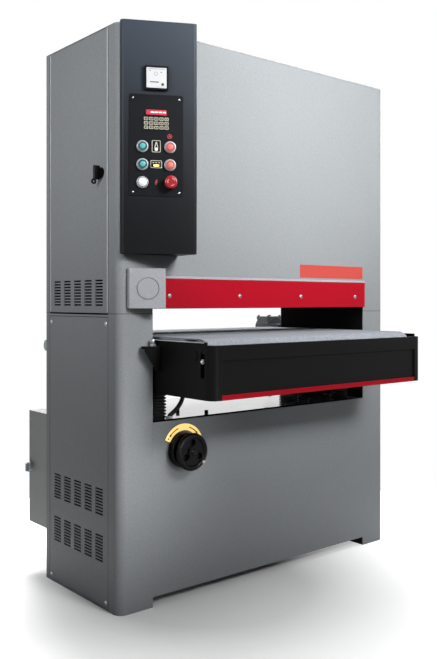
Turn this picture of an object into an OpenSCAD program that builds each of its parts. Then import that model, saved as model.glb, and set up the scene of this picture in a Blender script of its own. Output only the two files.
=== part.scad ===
// Wide belt sander: a floor-standing cabinet with a sanding belt over a contact drum, above a conveyor table
// that rises and falls on four screws.
// Millimetres, +Z up. The operator stands at -Y and looks along +Y.
// Origin: on the floor, in the middle of the four anchor holes.

/* [Cabinet] */
// Working width, the widest board that passes
working_w = 940; // [700:10:1300]
// Width of a column
column_w = 125; // [115:1:160]
// Depth from the front sheet to the rear sheet
cabinet_d = 460; // [450:10:560]
// Height over the top cover
cabinet_h = 1800; // [1760:10:2000]
// Gap between the table and a column
throat_gap = 10; // [8:1:20]
// Height of the seam between base and head
seam_z = 915; // [900:1:920]
// Height of the base deck, the lower edge of the throat
deck_z = 575; // [560:1:585]
// Height of the gap under the front apron
toe_h = 31; // [15:1:60]
// Thickness of the cabinet sheet
sheet = 3; // [2:0.5:4]
// Outer radius of the front corners
corner_r = 28; // [15:1:40]
// Thickness of the inner frame plates
plate_t = 12; // [8:1:16]
// Width of the strip in front of the side doors and panels
front_strip = 60; // [45:1:80]
// Width of the strip behind the side doors and panels
rear_strip = 25; // [20:1:40]
// Width of the flanges at the column ends
flange_w = 50; // [40:1:60]
// Radius of the anchor holes
anchor_r = 7; // [5:0.5:9]
// Gap round a side panel or door
panel_gap = 0.8; // [0.5:0.1:0.9]
// Gap at the hinge edge of the left door
hinge_gap = 2.5; // [2.4:0.1:4]
// Depth of the folded edges of the doors
door_fold = 15; // [10:1:25]

/* [Louvres] */
// Columns of slots in a louvre bank
louvre_columns = 5; // [3:1:5]
// Rows of slots in a louvre bank
louvre_rows = 9; // [5:1:10]
// Length of a slot
louvre_l = 45; // [30:1:55]
// Height of a slot
louvre_h = 5; // [3:0.5:6]
// Pitch of the slot columns
louvre_pitch_y = 67; // [60:1:70]
// Pitch of the slot rows
louvre_pitch_z = 9.6; // [8:0.2:12]
// Lowest slot of the door bank above the seam
door_louvre_rise = 24; // [15:1:45]
// Lowest slot of the service panel's lower bank
low_louvre_z = 143; // [60:1:150]
// Distance between the service panel's two banks
louvre_bank_pitch = 145; // [120:1:400]

/* [Sanding head] */
// Height of the sanding belt's lowest point above the seam
work_rise = 15; // [10:1:20]
// Radius of the contact drum
drum_r = 75; // [60:1:80]
// Length of the drum and the rollers beyond each side of the sanding belt
drum_margin = 5; // [3:1:8]
// Gap between the front beam and the infeed roller
beam_gap = 9; // [5:1:15]
// Radius of the tension roller
tension_r = 60; // [50:1:75]
// Distance between drum and tension roller axes
belt_centres = 550; // [500:1:580]
// Thickness of the sanding belt
sanding_t = 1.2; // [1:0.1:2]
// Radius of the drum shaft
drum_shaft_r = 20; // [15:1:22]
// Radius of the pressure rollers
pressure_r = 30; // [25:1:32]
// Distance of the pressure roller axes from the drum axis
pressure_offset = 118; // [116:1:122]
// Drop of the pressure rollers below the sanding belt
pressure_drop = 1; // [0.5:0.1:2]
// Radius of the pressure roller journals
pressure_shaft_r = 10; // [8:1:12]
// Outer radius of the dust ports
port_r = 62.5; // [50:0.5:75]
// Length of the dust ports behind the cabinet
port_l = 60; // [40:1:80]
// Distance between the dust ports
port_pitch = 480; // [300:10:600]
// Height of the guard bar
bar_h = 94; // [80:1:100]
// Distance that the guard bar stands proud of the front sheet
bar_proud = 10; // [8:1:16]

/* [Drive] */
// Radius of the pulley on the drum
drum_pulley_r = 55; // [45:1:60]
// Radius of the pulley on the motor
motor_pulley_r = 70; // [55:1:80]
// Width of the drive belt
drive_w = 40; // [30:1:44]
// Height of the motor axis
motor_z = 260; // [220:1:300]
// Radius of the motor body
motor_r = 105; // [90:1:120]
// Length of the motor
motor_l = 300; // [240:1:340]

/* [Conveyor table] */
// Distance of the table front ahead of the cabinet
table_reach = 280; // [260:1:300]
// Distance of the belt end behind the cabinet
table_tail = 85; // [80:1:120]
// Width of the table beside the conveyor belt
table_margin = 20; // [18:1:30]
// Height of the conveyor belt's face
table_z = 842; // [835:1:845]
// Height of the lower edge of the table
table_low_z = 666; // [660:1:680]
// Thickness of the table side plates
side_t = 6; // [4:0.5:8]
// Thickness of the conveyor belt
feed_t = 4; // [3:0.5:5]
// Radius inside the conveyor belt's ends
feed_r = 45; // [40:1:48]
// Height of the front cover's upper edge
cover_top_z = 826; // [815:1:832]
// Depth of the front cover
cover_d = 28; // [24:1:32]
// Height of the red trim on the front cover
trim_h = 15; // [10:1:20]

/* [Table lift] */
// Distance of the lift screws from the table's sides
screw_inset = 50; // [48:1:60]
// Distance of the front lift screws behind the front sheet
screw_front = 70; // [60:1:90]
// Distance of the rear lift screws ahead of the rear sheet
screw_rear = 100; // [60:1:110]
// Radius of a lift screw
screw_r = 13; // [10:0.5:16]
// Outer radius of the bellows
bellows_r = 35; // [30:1:42]
// Folds of a bellows
bellows_folds = 9; // [5:1:12]
// Drop of the handwheel axis below the deck
wheel_drop = 97; // [94:1:105]
// Distance of the handwheel axis from the left column
wheel_inset = 115; // [105:1:125]
// Radius of the handwheel
wheel_r = 60; // [50:1:75]
// Radius of the handwheel shaft
wheel_shaft_r = 8; // [6:0.5:10]

/* [Control box] */
// Depth of the control box at its left edge
box_left_d = 20; // [20:1:30]
// Depth of the control box at its front edge
box_front_d = 128; // [110:1:150]
// Distance of the front edge from the cabinet's left side
box_front_x = 205; // [190:1:220]
// Width of the control box on the cabinet
box_w = 223; // [222:1:250]
// Height of the control box's lower edge above the seam
box_rise = 182; // [175:1:205]
// Wall of the control box
box_wall = 3; // [2:0.5:4]
// Radius of the control box's edges
box_edge_r = 9; // [6:1:12]
// Radius of a push button
button_r = 13; // [11:0.5:14]
// Travel of a push button
button_travel = 4; // [2:0.5:4]
// Outer radius of a button bezel
bezel_r = 18; // [16:0.5:19]
// Side of the ammeter
meter_side = 72; // [60:1:80]

/* [Electrical box] */
// Width of the electrical box
ebox_w = 400; // [350:10:420]
// Depth of the electrical box with its door
ebox_d = 210; // [180:5:240]
// Height of the electrical box
ebox_h = 407; // [360:1:420]
// Height of the electrical box's lower edge
ebox_z = 145; // [130:1:160]
// Distance of the electrical box from the cabinet's left side
ebox_inset = 40; // [30:1:60]
// Wall of the electrical box
ebox_wall = 3; // [2:0.5:4]

/* [Fits] */
// Radial clearance of a shaft in its bore
fit = 0.05; // [0.02:0.01:0.1]
// Gap between a roller and the band that runs on it
run_gap = 0.3; // [0.3:0.05:0.6]

/* [Hidden] */
$fn = 48;
// Flat steps of a band round one roller
wrap_steps = 60;

// Finishes
grey_paint = "#aab0b2";
dark_paint = "#26282a";
black_plastic = "#2a2d31";
red_paint = "#b20a28";
steel = "#b9bcc0";
rubber = "#1c1c1e";

// Main planes
sanding_w = working_w;
feed_w = working_w;
drum_l = sanding_w + 2 * drum_margin;
table_w = feed_w + 2 * table_margin;
throat_w = table_w + 2 * throat_gap;
cabinet_w = throat_w + 2 * column_w;
half_w = cabinet_w / 2;
half_throat = throat_w / 2;
front_y = -cabinet_d / 2;
rear_y = cabinet_d / 2;
door_y0 = front_y + front_strip;
door_y1 = rear_y - rear_strip;
panel_z0 = 5;
panel_z1 = seam_z - 10;
door_z0 = seam_z + 1.5;
door_z1 = cabinet_h - sheet - 1;
louvre_mid_y = (door_y0 + door_y1) / 2;
door_louvre_z = seam_z + door_louvre_rise;
frame_x = half_throat + plate_t;
anchor_x = (half_w + frame_x) / 2;
anchor_y = rear_y - sheet - flange_w / 2;

// Door hinge and latch
pintle_r = 2.5;
hinge_inset = 6;
hinge_x = -half_w + hinge_inset;
hinge_y = door_y1 - hinge_gap - hinge_inset;
latch_y = front_y + 100;
latch_z = (seam_z + cabinet_h) / 2 - 5;
latch_r = 11;

// Sanding head
work_z = seam_z + work_rise;
beam_depth = 30;
beam_front_y = front_y + sheet;
infeed_y = beam_front_y + beam_depth + beam_gap + pressure_r;
drum_axis = [infeed_y + pressure_offset, work_z + sanding_t + run_gap + drum_r];
outfeed_y = drum_axis.x + pressure_offset;
tension_axis = drum_axis + [0, belt_centres];
pressure_z = work_z - pressure_drop + pressure_r;
bar_z = work_z + 1;
bar_top_z = bar_z + bar_h;
front_lip_z = bar_top_z + 8;
beam_low_z = work_z + 5;
beam_top_z = front_lip_z + 13;
rear_beam_y = outfeed_y + pressure_r + 2;
rear_lip_z = work_z + 25;
block_x = drum_l / 2 + 7;
block_t = half_throat - block_x - 2;
block_reach = 22;
block_low_z = pressure_z - block_reach;
block_top_z = pressure_z + 40;
arm_w = 100;
arm_h = 140;
arm_z = drum_axis.y + 173;
arm_wall = 8;
arm_left_x = -drum_l / 2 - 5;
arm_plate_t = 10;
bearing_t = 14;
yoke_gap = 5;
yoke_t = 10;
yoke_w = 50;
yoke_h = 30;
yoke_z = tension_axis.y - tension_r - 46;
post_r = 22;
post_gap = 8;
cylinder_wall = 16;
cylinder_floor = 6;
tension_shaft_r = 15;
hood_z0 = beam_top_z;
hood_z1 = hood_z0 + 155;
hood_half_w = drum_l / 2 - 25;
hood_wall = 2;
hood_gap = 25;
port_shoulder = 4;
port_z = (hood_z0 + hood_z1) / 2;

// Drive
motor_y = 40;
pulley_x = frame_x + 41;
motor_flange_t = 14;
motor_bore_l = 30;
drive_t = 6;
motor_shaft_r = 19;
shaft_gap = 2;
shaft_end = 4;

// Table
table_front_y = front_y - table_reach;
table_end_y = rear_y + table_tail;
roller_z = table_z - feed_t - feed_r;
front_roller_y = table_front_y + cover_d + 8 + feed_t + feed_r;
rear_roller_y = table_end_y - feed_t - feed_r;
half_table = table_w / 2;
side_x = half_table - side_t;
side_y0 = table_front_y + cover_d;
feed_shaft_r = 12.5;
roller_over = 2;
drive_shaft_l = 20;
bed_t = 10;
cross_z = roller_z - feed_r - feed_t - 47;
cross_h = 40;
cross_w = 60;
slot_w = 18;
slot_z = [table_low_z + 62, table_z - 36];
slot_y = side_y0 + 16;
inset_half_w = half_table - 38;
inset_depth = 6;
inset_top_z = cover_top_z - 45;
cover_wall = 10;

// Lift: the screws hang under the table and run down through the jacks
screw_x = half_table - screw_inset;
screw_ys = [front_y + screw_front, rear_y - screw_rear];
jack_w = 90;
jack_h = 80;
jack_z = deck_z - sheet - jack_h;
screw_low_z = jack_z - 72;
bellows_wall = 2;
bellows_depth = 7;
wheel_x = half_throat - wheel_inset;
wheel_z = deck_z - wheel_drop;
wheel_face_y = front_y - 60;
gearbox_w = 80;
gearbox_d = 78;
gearbox_low_z = wheel_z - 38;
lift_motor_r = 36;
lift_motor_l = 120;
wheel_bore_l = 50;
snout_r = 32;
snout_l = 32;

// Conduit between the table and the deck: it sweeps round the bellows to land in front of it
conduit_r = 7.5;
conduit_bore_r = 5;
conduit_rib = 1.2;
conduit_rings = 48;
conduit_sides = 8;
conduit_lead = [60, 30];
conduit_boss_h = 12;
conduit_boss_r = conduit_r + 3;
conduit_side = [118, 20];
conduit_gap = 2;
conduit_top = [-screw_x + conduit_side[0], screw_ys[0], cross_z - conduit_boss_h];
conduit_foot = [
    -screw_x + conduit_side[1], screw_ys[0] - bellows_r - conduit_boss_r - conduit_gap,
    deck_z + conduit_boss_h
];

// Control box: its plan is a wedge, so the panel face turns towards the operator
box_z = seam_z + box_rise;
box_plan = [
    [-half_w, front_y], [-half_w, front_y - box_left_d],
    [-half_w + box_front_x, front_y - box_front_d], [-half_w + box_w, front_y]
];
face_run = box_plan[2] - box_plan[1];
face_w = norm(face_run);
face_turn = atan2(-face_run.y, face_run.x);
plate_w = 164;
plate_h = 306;
plate_rise = 327;
plate_z = box_z + plate_rise;
display = [66, 19, 2.5];
display_rise = 426;
display_z = box_z + display_rise;
keypad = [82, 42, 1];
keypad_rise = 393;
keypad_z = box_z + keypad_rise;
overlay_t = 2;
panel_shift = 14;
panel_mid = face_w / 2 - panel_shift;
button_side = 42;
button_rise = 214;
button_pitch = 54;
button_rows = [for (i = [2, 1, 0]) box_z + button_rise + i * button_pitch];
meter_rise = 529;
meter_z = box_z + meter_rise;
meter_can_r = 29;
meter_can_l = 38;
stem_r = 8;
bezel_h = 7;
cap_lift = 5;
cap_h = 7;
stem_l = 22;

// Bar end housing: a smaller wedge turned the same way
end_left_x = -half_w + 28;
end_right_x = -half_throat + 15;
end_left_d = 15;
end_front_d = 75;
end_plan = [
    [end_left_x, front_y], [end_left_x, front_y - end_left_d],
    [end_right_x - 16, front_y - end_front_d], [end_right_x, front_y]
];
end_z = bar_z + 1;
end_h = 121;
end_edge_r = 6;

// Electrical box
ebox_x0 = -half_w + ebox_inset;
ebox_x1 = ebox_x0 + ebox_w;
ebox_y1 = rear_y + ebox_d;
knuckle_r = 5;
knuckle_pin_r = 2;
knuckle_l = 30;
knuckle_axis = [ebox_x1 + knuckle_r, ebox_y1 - ebox_wall - 0.5];
knuckle_zs = [ebox_z + 60, ebox_z + ebox_h - 60 - 2 * knuckle_l];
switch_y = ebox_y1 - 20;
switch_z = ebox_z + 202;
switch_shaft_r = 5;

// Box from one corner to the opposite one
module block(low, high) { translate(low) cube(high - low); }

// Cylinder along X
module rod_x(x0, x1, r, y, z) { translate([x0, y, z]) rotate([0, 90, 0]) cylinder(h = x1 - x0, r = r); }

// Cylinder along Y
module rod_y(y0, y1, r, x, z) { translate([x, y0, z]) rotate([-90, 0, 0]) cylinder(h = y1 - y0, r = r); }

// Tube along X with a pierced disc at each end
module tube_roller(x0, x1, r, y, z) {
    wall = 6;
    disc_t = 12;
    vent_r = r / 8;
    difference() {
        rod_x(x0, x1, r, y, z);
        rod_x(x0 + disc_t, x1 - disc_t, r - wall, y, z);
        for (a = [0 : 120 : 240])
            rod_x(x0 - 1, x1 + 1, vent_r, y + 0.65 * r * cos(a), z + 0.65 * r * sin(a));
    }
}

// Flat shape drawn in Y and Z, pushed along X
module along_x(x0, x1) { translate([x0, 0, 0]) rotate([90, 0, 90]) linear_extrude(x1 - x0) children(); }

// Flat shape drawn in X and Z, pushed along Y
module along_y(y0, y1) { translate([0, y1, 0]) rotate([90, 0, 0]) linear_extrude(y1 - y0) children(); }

// Place on the control panel's face: x along the face, y up, z outwards
module on_panel(s, z, out = 0) {
    translate([box_plan[1].x, box_plan[1].y, z]) rotate([0, 0, -face_turn]) translate([s, -out, 0])
        rotate([90, 0, 0]) children();
}

function unit(v) = v / norm(v);
function turned(v, a) = [v.x * cos(a) - v.y * sin(a), v.x * sin(a) + v.y * cos(a)];
function before(p, i) = unit(p[(i + len(p) - 1) % len(p)] - p[i]);
function after(p, i) = unit(p[(i + 1) % len(p)] - p[i]);
function half_angle(p, i) = acos(before(p, i) * after(p, i)) / 2;
function corner_centre(p, i, r) = p[i] + unit(before(p, i) + after(p, i)) * r / sin(half_angle(p, i));
function shrunk(p, t) = [for (i = [0 : len(p) - 1]) corner_centre(p, i, t)];

// Outline that joins the points where corners of radius r begin and end
function cut_corners(p, r) = [for (i = [0 : len(p) - 1]) each [
    p[i] + before(p, i) * r / tan(half_angle(p, i)),
    p[i] + after(p, i) * r / tan(half_angle(p, i))
]];

// Upright prism over a convex outline with its corners rounded to radius r
module rounded_prism(p, r, z0, z1) {
    translate([0, 0, z0]) {
        linear_extrude(z1 - z0) polygon(cut_corners(p, r));
        for (i = [0 : len(p) - 1]) translate(corner_centre(p, i, r)) cylinder(h = z1 - z0, r = r);
    }
}

// Plate about the origin with rounded corners
module rounded_plate(w, h, r, t) {
    rounded_prism([[-w / 2, -h / 2], [w / 2, -h / 2], [w / 2, h / 2], [-w / 2, h / 2]], r, 0, t);
}

// Outline of a taut band round two circles
module taut_outline(c1, r1, c2, r2) {
    d = unit(c2 - c1);
    a = acos((r1 - r2) / norm(c2 - c1));
    translate(c1) circle(r1);
    translate(c2) circle(r2);
    polygon([
        c1 + r1 * turned(d, a), c2 + r2 * turned(d, a),
        c2 + r2 * turned(d, -a), c1 + r1 * turned(d, -a)
    ]);
}

// Points of a taut line round two circles, counter-clockwise
function taut_points(c1, r1, c2, r2) =
    let (
        d = unit(c2 - c1),
        heading = atan2(d.y, d.x),
        wrap = acos((r1 - r2) / norm(c2 - c1))
    ) concat(
        [for (i = [0 : wrap_steps]) let (a = heading + wrap + (360 - 2 * wrap) * i / wrap_steps)
            c1 + r1 * [cos(a), sin(a)]],
        [for (i = [0 : wrap_steps]) let (a = heading - wrap + 2 * wrap * i / wrap_steps)
            c2 + r2 * [cos(a), sin(a)]]
    );

// Closed band of thickness t, from x0 to x1, round two rollers along X
module band(c1, r1, c2, r2, t, x0, x1) {
    difference() {
        along_x(x0, x1) polygon(taut_points(c1, r1 + t, c2, r2 + t));
        along_x(x0 - 1, x1 + 1) polygon(taut_points(c1, r1, c2, r2));
    }
}

// Bank of slots about the middle of a side panel, drawn in Y and Z
module louvre_bank(low_z) {
    for (i = [0 : louvre_columns - 1], j = [0 : louvre_rows - 1])
        translate([
            louvre_mid_y + (i - (louvre_columns - 1) / 2) * louvre_pitch_y - louvre_l / 2,
            low_z + j * louvre_pitch_z
        ]) square([louvre_l, louvre_h]);
}

// Plan of a column with its outer front corner rounded, open towards the throat
module column_plan(inset) {
    r = corner_r - inset;
    low = [-half_w + inset, front_y + inset];
    high = [-half_throat, rear_y - inset];
    translate(low + [r, 0]) square(high - low - [r, 0]);
    translate(low + [0, r]) square(high - low - [0, r]);
    translate(low + [r, r]) circle(r);
}

// Folded sheet column with a flange at each end and a window for the service panel
module column() {
    difference() {
        linear_extrude(seam_z) column_plan(0);
        translate([0, 0, sheet]) linear_extrude(seam_z - 2 * sheet) column_plan(sheet);
        block([-half_w + sheet, front_y + sheet + flange_w, -1],
            [-half_throat + 1, rear_y - sheet - flange_w, seam_z + 1]);
        block([-frame_x, front_y + sheet, -1], [-half_throat + 1, rear_y - sheet, seam_z + 1]);
        block([-half_w - 1, door_y0, panel_z0], [-half_w + sheet + 1, door_y1, panel_z1]);
        for (y = [-anchor_y, anchor_y]) translate([-anchor_x, y, -1]) cylinder(h = sheet + 2, r = anchor_r);
        translate([hinge_x, hinge_y, seam_z - sheet - 1]) cylinder(h = sheet + 2, r = pintle_r);
    }
}

module left_column() { color(grey_paint) column(); }

module right_column() { color(grey_paint) mirror([1, 0, 0]) column(); }

module left_frame_plate() {
    color(dark_paint) block([-frame_x, front_y + sheet, 0], [-half_throat, rear_y - sheet, seam_z]);
}

module right_frame_plate() {
    color(dark_paint) difference() {
        block([half_throat, front_y + sheet, 0], [frame_x, rear_y - sheet, cabinet_h - sheet]);
        rod_x(half_throat - 1, frame_x + 1, drum_shaft_r + shaft_gap, drum_axis.x, drum_axis.y);
        rod_x(half_throat - 1, frame_x + 1, motor_shaft_r + shaft_gap, motor_y, motor_z);
    }
}

// Sheet between the columns, folded back at its lower edge
module apron() {
    block([-half_throat, front_y, toe_h], [half_throat, front_y + sheet, deck_z]);
    block([-half_throat, front_y + sheet, toe_h], [half_throat, front_y + 10 * sheet, toe_h + sheet]);
}

module front_apron() {
    color(grey_paint) difference() {
        apron();
        rod_y(front_y - 1, front_y + sheet + 1, snout_r + run_gap, -wheel_x, wheel_z);
    }
}

module rear_apron() { color(grey_paint) mirror([0, 1, 0]) apron(); }

module base_deck() {
    color("#d5d8da") difference() {
        union() {
            block([-half_throat, front_y + sheet, deck_z - sheet], [half_throat, rear_y - sheet, deck_z]);
            translate([conduit_foot.x, conduit_foot.y, deck_z])
                cylinder(h = conduit_boss_h, r = conduit_boss_r);
        }
        for (x = [-screw_x, screw_x], y = screw_ys)
            translate([x, y, deck_z - sheet - 1]) cylinder(h = sheet + 2, r = screw_r + 5);
    }
}

module service_panel() {
    along_x(-half_w, -half_w + sheet) difference() {
        translate([door_y0 + panel_gap, panel_z0 + panel_gap])
            square([door_y1 - door_y0 - 2 * panel_gap, panel_z1 - panel_z0 - 2 * panel_gap]);
        for (i = [0, 1]) louvre_bank(low_louvre_z + i * louvre_bank_pitch);
    }
}

module left_service_panel() { color(grey_paint) service_panel(); }

module right_service_panel() { color(grey_paint) mirror([1, 0, 0]) service_panel(); }

// Plan across the head front: both front corners rounded
module head_front_plan(inset, depth) {
    r = corner_r - inset;
    w = half_w - inset;
    translate([-w + r, front_y + inset]) square([2 * (w - r), depth - inset]);
    translate([-w, front_y + inset + r]) square([2 * w, depth - inset - r]);
    for (s = [-1, 1]) translate([s * (w - r), front_y + inset + r]) circle(r);
}

module head_front_panel() {
    color(grey_paint) difference() {
        translate([0, 0, seam_z]) linear_extrude(cabinet_h - sheet - seam_z) difference() {
            head_front_plan(0, front_strip);
            head_front_plan(sheet, front_strip + 1);
        }
        block([-half_throat, front_y - 1, seam_z - 1], [half_throat, front_y + sheet + 1, front_lip_z]);
    }
}

module head_rear_panel() {
    color(grey_paint) difference() {
        block([-half_w, rear_y - rear_strip, seam_z], [half_w, rear_y, cabinet_h - sheet]);
        block([-half_w + sheet, rear_y - rear_strip - 1, seam_z - 1],
            [half_w - sheet, rear_y - sheet, cabinet_h]);
        block([-half_throat, rear_y - sheet - 1, seam_z - 1], [half_throat, rear_y + 1, rear_lip_z]);
        for (s = [-1, 1])
            rod_y(rear_y - sheet - 1, rear_y + 1, port_r + port_shoulder + run_gap,
                s * port_pitch / 2, port_z);
    }
}

module head_top_cover() {
    color(grey_paint) difference() {
        translate([0, 0, cabinet_h - sheet]) linear_extrude(sheet) head_front_plan(0, cabinet_d);
        for (s = [-1, 1])
            translate([s * hinge_x, hinge_y, cabinet_h - sheet - 1]) cylinder(h = sheet + 2, r = pintle_r);
    }
}

// Shallow pan with folded edges that closes one side of the head, and its pintles
module side_pan(latched) {
    low = [-half_w, door_y0 + panel_gap, door_z0];
    high = [-half_w + door_fold, door_y1 - hinge_gap, door_z1];
    fold = [sheet, sheet, sheet];
    difference() {
        block(low, high);
        block(low + fold, high - fold + [2 * sheet, 0, 0]);
        along_x(-half_w - 1, -half_w + sheet + 1) louvre_bank(door_louvre_z);
        if (latched) rod_x(-half_w - 1, -half_w + sheet + 1, latch_r, latch_y, latch_z);
    }
    translate([hinge_x, hinge_y, seam_z - sheet])
        cylinder(h = door_z0 + sheet - seam_z + sheet, r = pintle_r - fit);
    translate([hinge_x, hinge_y, door_z1 - sheet])
        cylinder(h = cabinet_h - door_z1 + sheet, r = pintle_r - fit);
}

module left_door() { color(grey_paint) side_pan(true); }

module right_head_cover() { color(grey_paint) mirror([1, 0, 0]) side_pan(false); }

// Quarter-turn latch: wing outside, barrel through the door, short cam inside
module door_latch() {
    wing_out = 26;
    wing_t = 12;
    wing_l = 44;
    base_h = 8;
    base_r = latch_r + 6;
    cam_x = -half_w + door_fold + 2;
    cam_t = 4;
    cam_l = 24;
    cam_tip_r = 8;
    color(black_plastic) {
        rod_x(-half_w - base_h, cam_x + cam_t, latch_r - fit, latch_y, latch_z);
        rod_x(-half_w - base_h, -half_w - run_gap, base_r, latch_y, latch_z);
        along_x(-half_w - wing_out, -half_w - base_h) translate([latch_y, latch_z])
            taut_outline([0, wing_l / 2 - wing_t / 2], wing_t / 2, [0, wing_t / 2 - wing_l / 2], wing_t / 2);
        along_x(cam_x, cam_x + cam_t) translate([latch_y, latch_z])
            taut_outline([0, 0], latch_r, [-cam_l, 0], cam_tip_r);
    }
}

module control_box() {
    color(black_plastic) difference() {
        rounded_prism(box_plan, box_edge_r, box_z, cabinet_h);
        rounded_prism(shrunk(box_plan, box_wall), box_edge_r - box_wall,
            box_z + box_wall, cabinet_h - box_wall);
        on_panel(panel_mid, meter_z, -box_wall - 1) cylinder(h = box_wall + 2, r = meter_can_r + run_gap);
        for (s = [-1, 1], z = button_rows)
            on_panel(panel_mid + s * button_side, z, -box_wall - 1)
                cylinder(h = box_wall + 2, r = stem_r + fit);
    }
}

// Overlay with the raised display window and a keypad of three rows
module control_plate() {
    key = [12, 9, 1.2];
    key_pitch = [15.5, 13];
    color("#17191c") difference() {
        union() {
            on_panel(panel_mid, plate_z) rounded_plate(plate_w, plate_h, 6, overlay_t);
            on_panel(panel_mid, display_z, overlay_t) rounded_plate(display.x, display.y, 3, display.z);
            on_panel(panel_mid, keypad_z, overlay_t) rounded_plate(keypad.x, keypad.y, 3, keypad.z);
            for (i = [-2 : 2], j = [-1 : 1])
                on_panel(panel_mid + i * key_pitch.x - key.x / 2, keypad_z + j * key_pitch.y - key.y / 2,
                    overlay_t + keypad.z) cube(key);
        }
        for (s = [-1, 1], z = button_rows)
            on_panel(panel_mid + s * button_side, z, -1) cylinder(h = overlay_t + 2, r = stem_r + fit);
    }
}

// Square meter: framed face outside, round can through the box
module ammeter() {
    frame_w = 4;
    depth = 11;
    color("#e9e9e6") difference() {
        union() {
            on_panel(panel_mid, meter_z) rounded_plate(meter_side, meter_side, 3, depth);
            on_panel(panel_mid, meter_z, -meter_can_l) cylinder(h = meter_can_l, r = meter_can_r);
        }
        on_panel(panel_mid, meter_z, depth - 2)
            rounded_plate(meter_side - 2 * frame_w, meter_side - 2 * frame_w, 2, 3);
    }
}

// Ring round a button, with a rounded outer edge
module bezel() {
    edge = 3;
    difference() {
        union() {
            cylinder(h = bezel_h - edge, r = bezel_r);
            cylinder(h = bezel_h, r = bezel_r - edge);
            translate([0, 0, bezel_h - edge]) rotate_extrude() translate([bezel_r - edge, 0]) circle(edge);
        }
        translate([0, 0, -1]) cylinder(h = bezel_h + 2, r = button_r + fit);
    }
}

module button_bezels() {
    color(steel) for (s = [-1, 1], z = button_rows)
        on_panel(panel_mid + s * button_side, z, overlay_t) bezel();
}

// Push button: cap in the bezel, stem through the panel
module push_button(column, row, tint) {
    color(tint) on_panel(panel_mid + column * button_side, button_rows[row]) {
        translate([0, 0, overlay_t + cap_lift]) cylinder(h = cap_h, r = button_r);
        translate([0, 0, overlay_t + cap_lift - stem_l]) cylinder(h = stem_l, r = stem_r);
    }
}

module drum_start_button() { push_button(-1, 0, "#1f9d57"); }

module drum_stop_button() { push_button(1, 0, "#c8202a"); }

module feed_start_button() { push_button(-1, 1, "#1f9d57"); }

module feed_stop_button() { push_button(1, 1, "#c8202a"); }

// Domed lens seated in its bezel
module pilot_lamp() {
    dome_h = 5;
    dome_r = (button_r * button_r + dome_h * dome_h) / (2 * dome_h);
    color("#eeeeea") on_panel(panel_mid - button_side, button_rows[2], overlay_t) {
        cylinder(h = bezel_h + 1, r = button_r);
        translate([0, 0, bezel_h + 1]) intersection() {
            translate([0, 0, dome_h - dome_r]) sphere(dome_r);
            cylinder(h = dome_h, r = button_r);
        }
    }
}

// Mushroom head on a stem
module emergency_stop() {
    head_r = 20;
    head_h = 17;
    edge = 6;
    color("#cf1f28") on_panel(panel_mid + button_side, button_rows[2]) {
        translate([0, 0, overlay_t + cap_lift - stem_l]) cylinder(h = stem_l + bezel_h + edge, r = stem_r);
        translate([0, 0, overlay_t + bezel_h + cap_lift]) rotate_extrude() {
            square([head_r, head_h - edge]);
            square([head_r - edge, head_h]);
            intersection() {
                translate([head_r - edge, head_h - edge]) circle(edge);
                square([head_r, head_h]);
            }
        }
    }
}

module bar_end_housing() {
    color("#c9ccce") rounded_prism(end_plan, end_edge_r, end_z, end_z + end_h);
}

// Folded red sheet in front of the head's lower edge, behind the bar end housing
module guard_bar() {
    bar_sheet = 2.5;
    left_x = end_plan[3].x + 1;
    color(red_paint) {
        block([left_x, front_y - bar_proud, bar_z],
            [half_throat, front_y - bar_proud + bar_sheet, bar_top_z]);
        for (z = [bar_z, bar_top_z - bar_sheet])
            block([left_x, front_y - bar_proud + bar_sheet, z],
                [half_throat, front_y + sheet, z + bar_sheet]);
    }
}

// Channel across the head, its open side away from the drum's front
module channel(y0, z0, z1) {
    wall = 4;
    difference() {
        block([-half_throat, y0, z0], [half_throat, y0 + beam_depth, z1]);
        block([-half_throat - 1, y0 + wall, z0 + wall], [half_throat + 1, y0 + beam_depth - wall, z1 - wall]);
    }
}

module cross_beams() {
    color(dark_paint) {
        channel(beam_front_y, beam_low_z, beam_top_z);
        channel(rear_beam_y, rear_lip_z + 5, beam_top_z);
    }
}

// Blocks that carry the pressure roller journals, fixed to the beams
module roller_blocks() {
    color(dark_paint) for (s = [-1, 1]) {
        x0 = s > 0 ? block_x : -block_x - block_t;
        difference() {
            block([x0, beam_front_y + beam_depth, block_low_z],
                [x0 + block_t, infeed_y + block_reach, block_top_z]);
            rod_x(x0 - 1, x0 + block_t + 1, pressure_shaft_r + fit, infeed_y, pressure_z);
        }
        difference() {
            block([x0, outfeed_y - block_reach, block_low_z], [x0 + block_t, rear_beam_y, block_top_z]);
            rod_x(x0 - 1, x0 + block_t + 1, pressure_shaft_r + fit, outfeed_y, pressure_z);
        }
    }
}

// Box beam inside the sanding belt's loop, with the drum's end plate and the tension cylinder
module cantilever_beam() {
    mid = drum_axis.x;
    color(dark_paint) difference() {
        union() {
            block([arm_left_x, mid - arm_w / 2, arm_z], [half_throat, mid + arm_w / 2, arm_z + arm_h]);
            block([arm_left_x - arm_plate_t, mid - arm_w / 2, drum_axis.y - arm_w / 2],
                [arm_left_x, mid + arm_w / 2, arm_z + arm_h]);
            translate([0, mid, arm_z + arm_h])
                cylinder(h = yoke_z - arm_z - arm_h - post_gap, r = post_r + cylinder_wall);
        }
        block([arm_left_x, mid - arm_w / 2 + arm_wall, arm_z + arm_wall],
            [half_throat + 1, mid + arm_w / 2 - arm_wall, arm_z + arm_h - arm_wall]);
        translate([0, mid, arm_z + arm_h + cylinder_floor]) cylinder(h = yoke_z, r = post_r + fit);
        rod_x(arm_left_x - arm_plate_t - 1, arm_left_x + 1, drum_shaft_r + shaft_gap, mid, drum_axis.y);
    }
}

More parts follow.
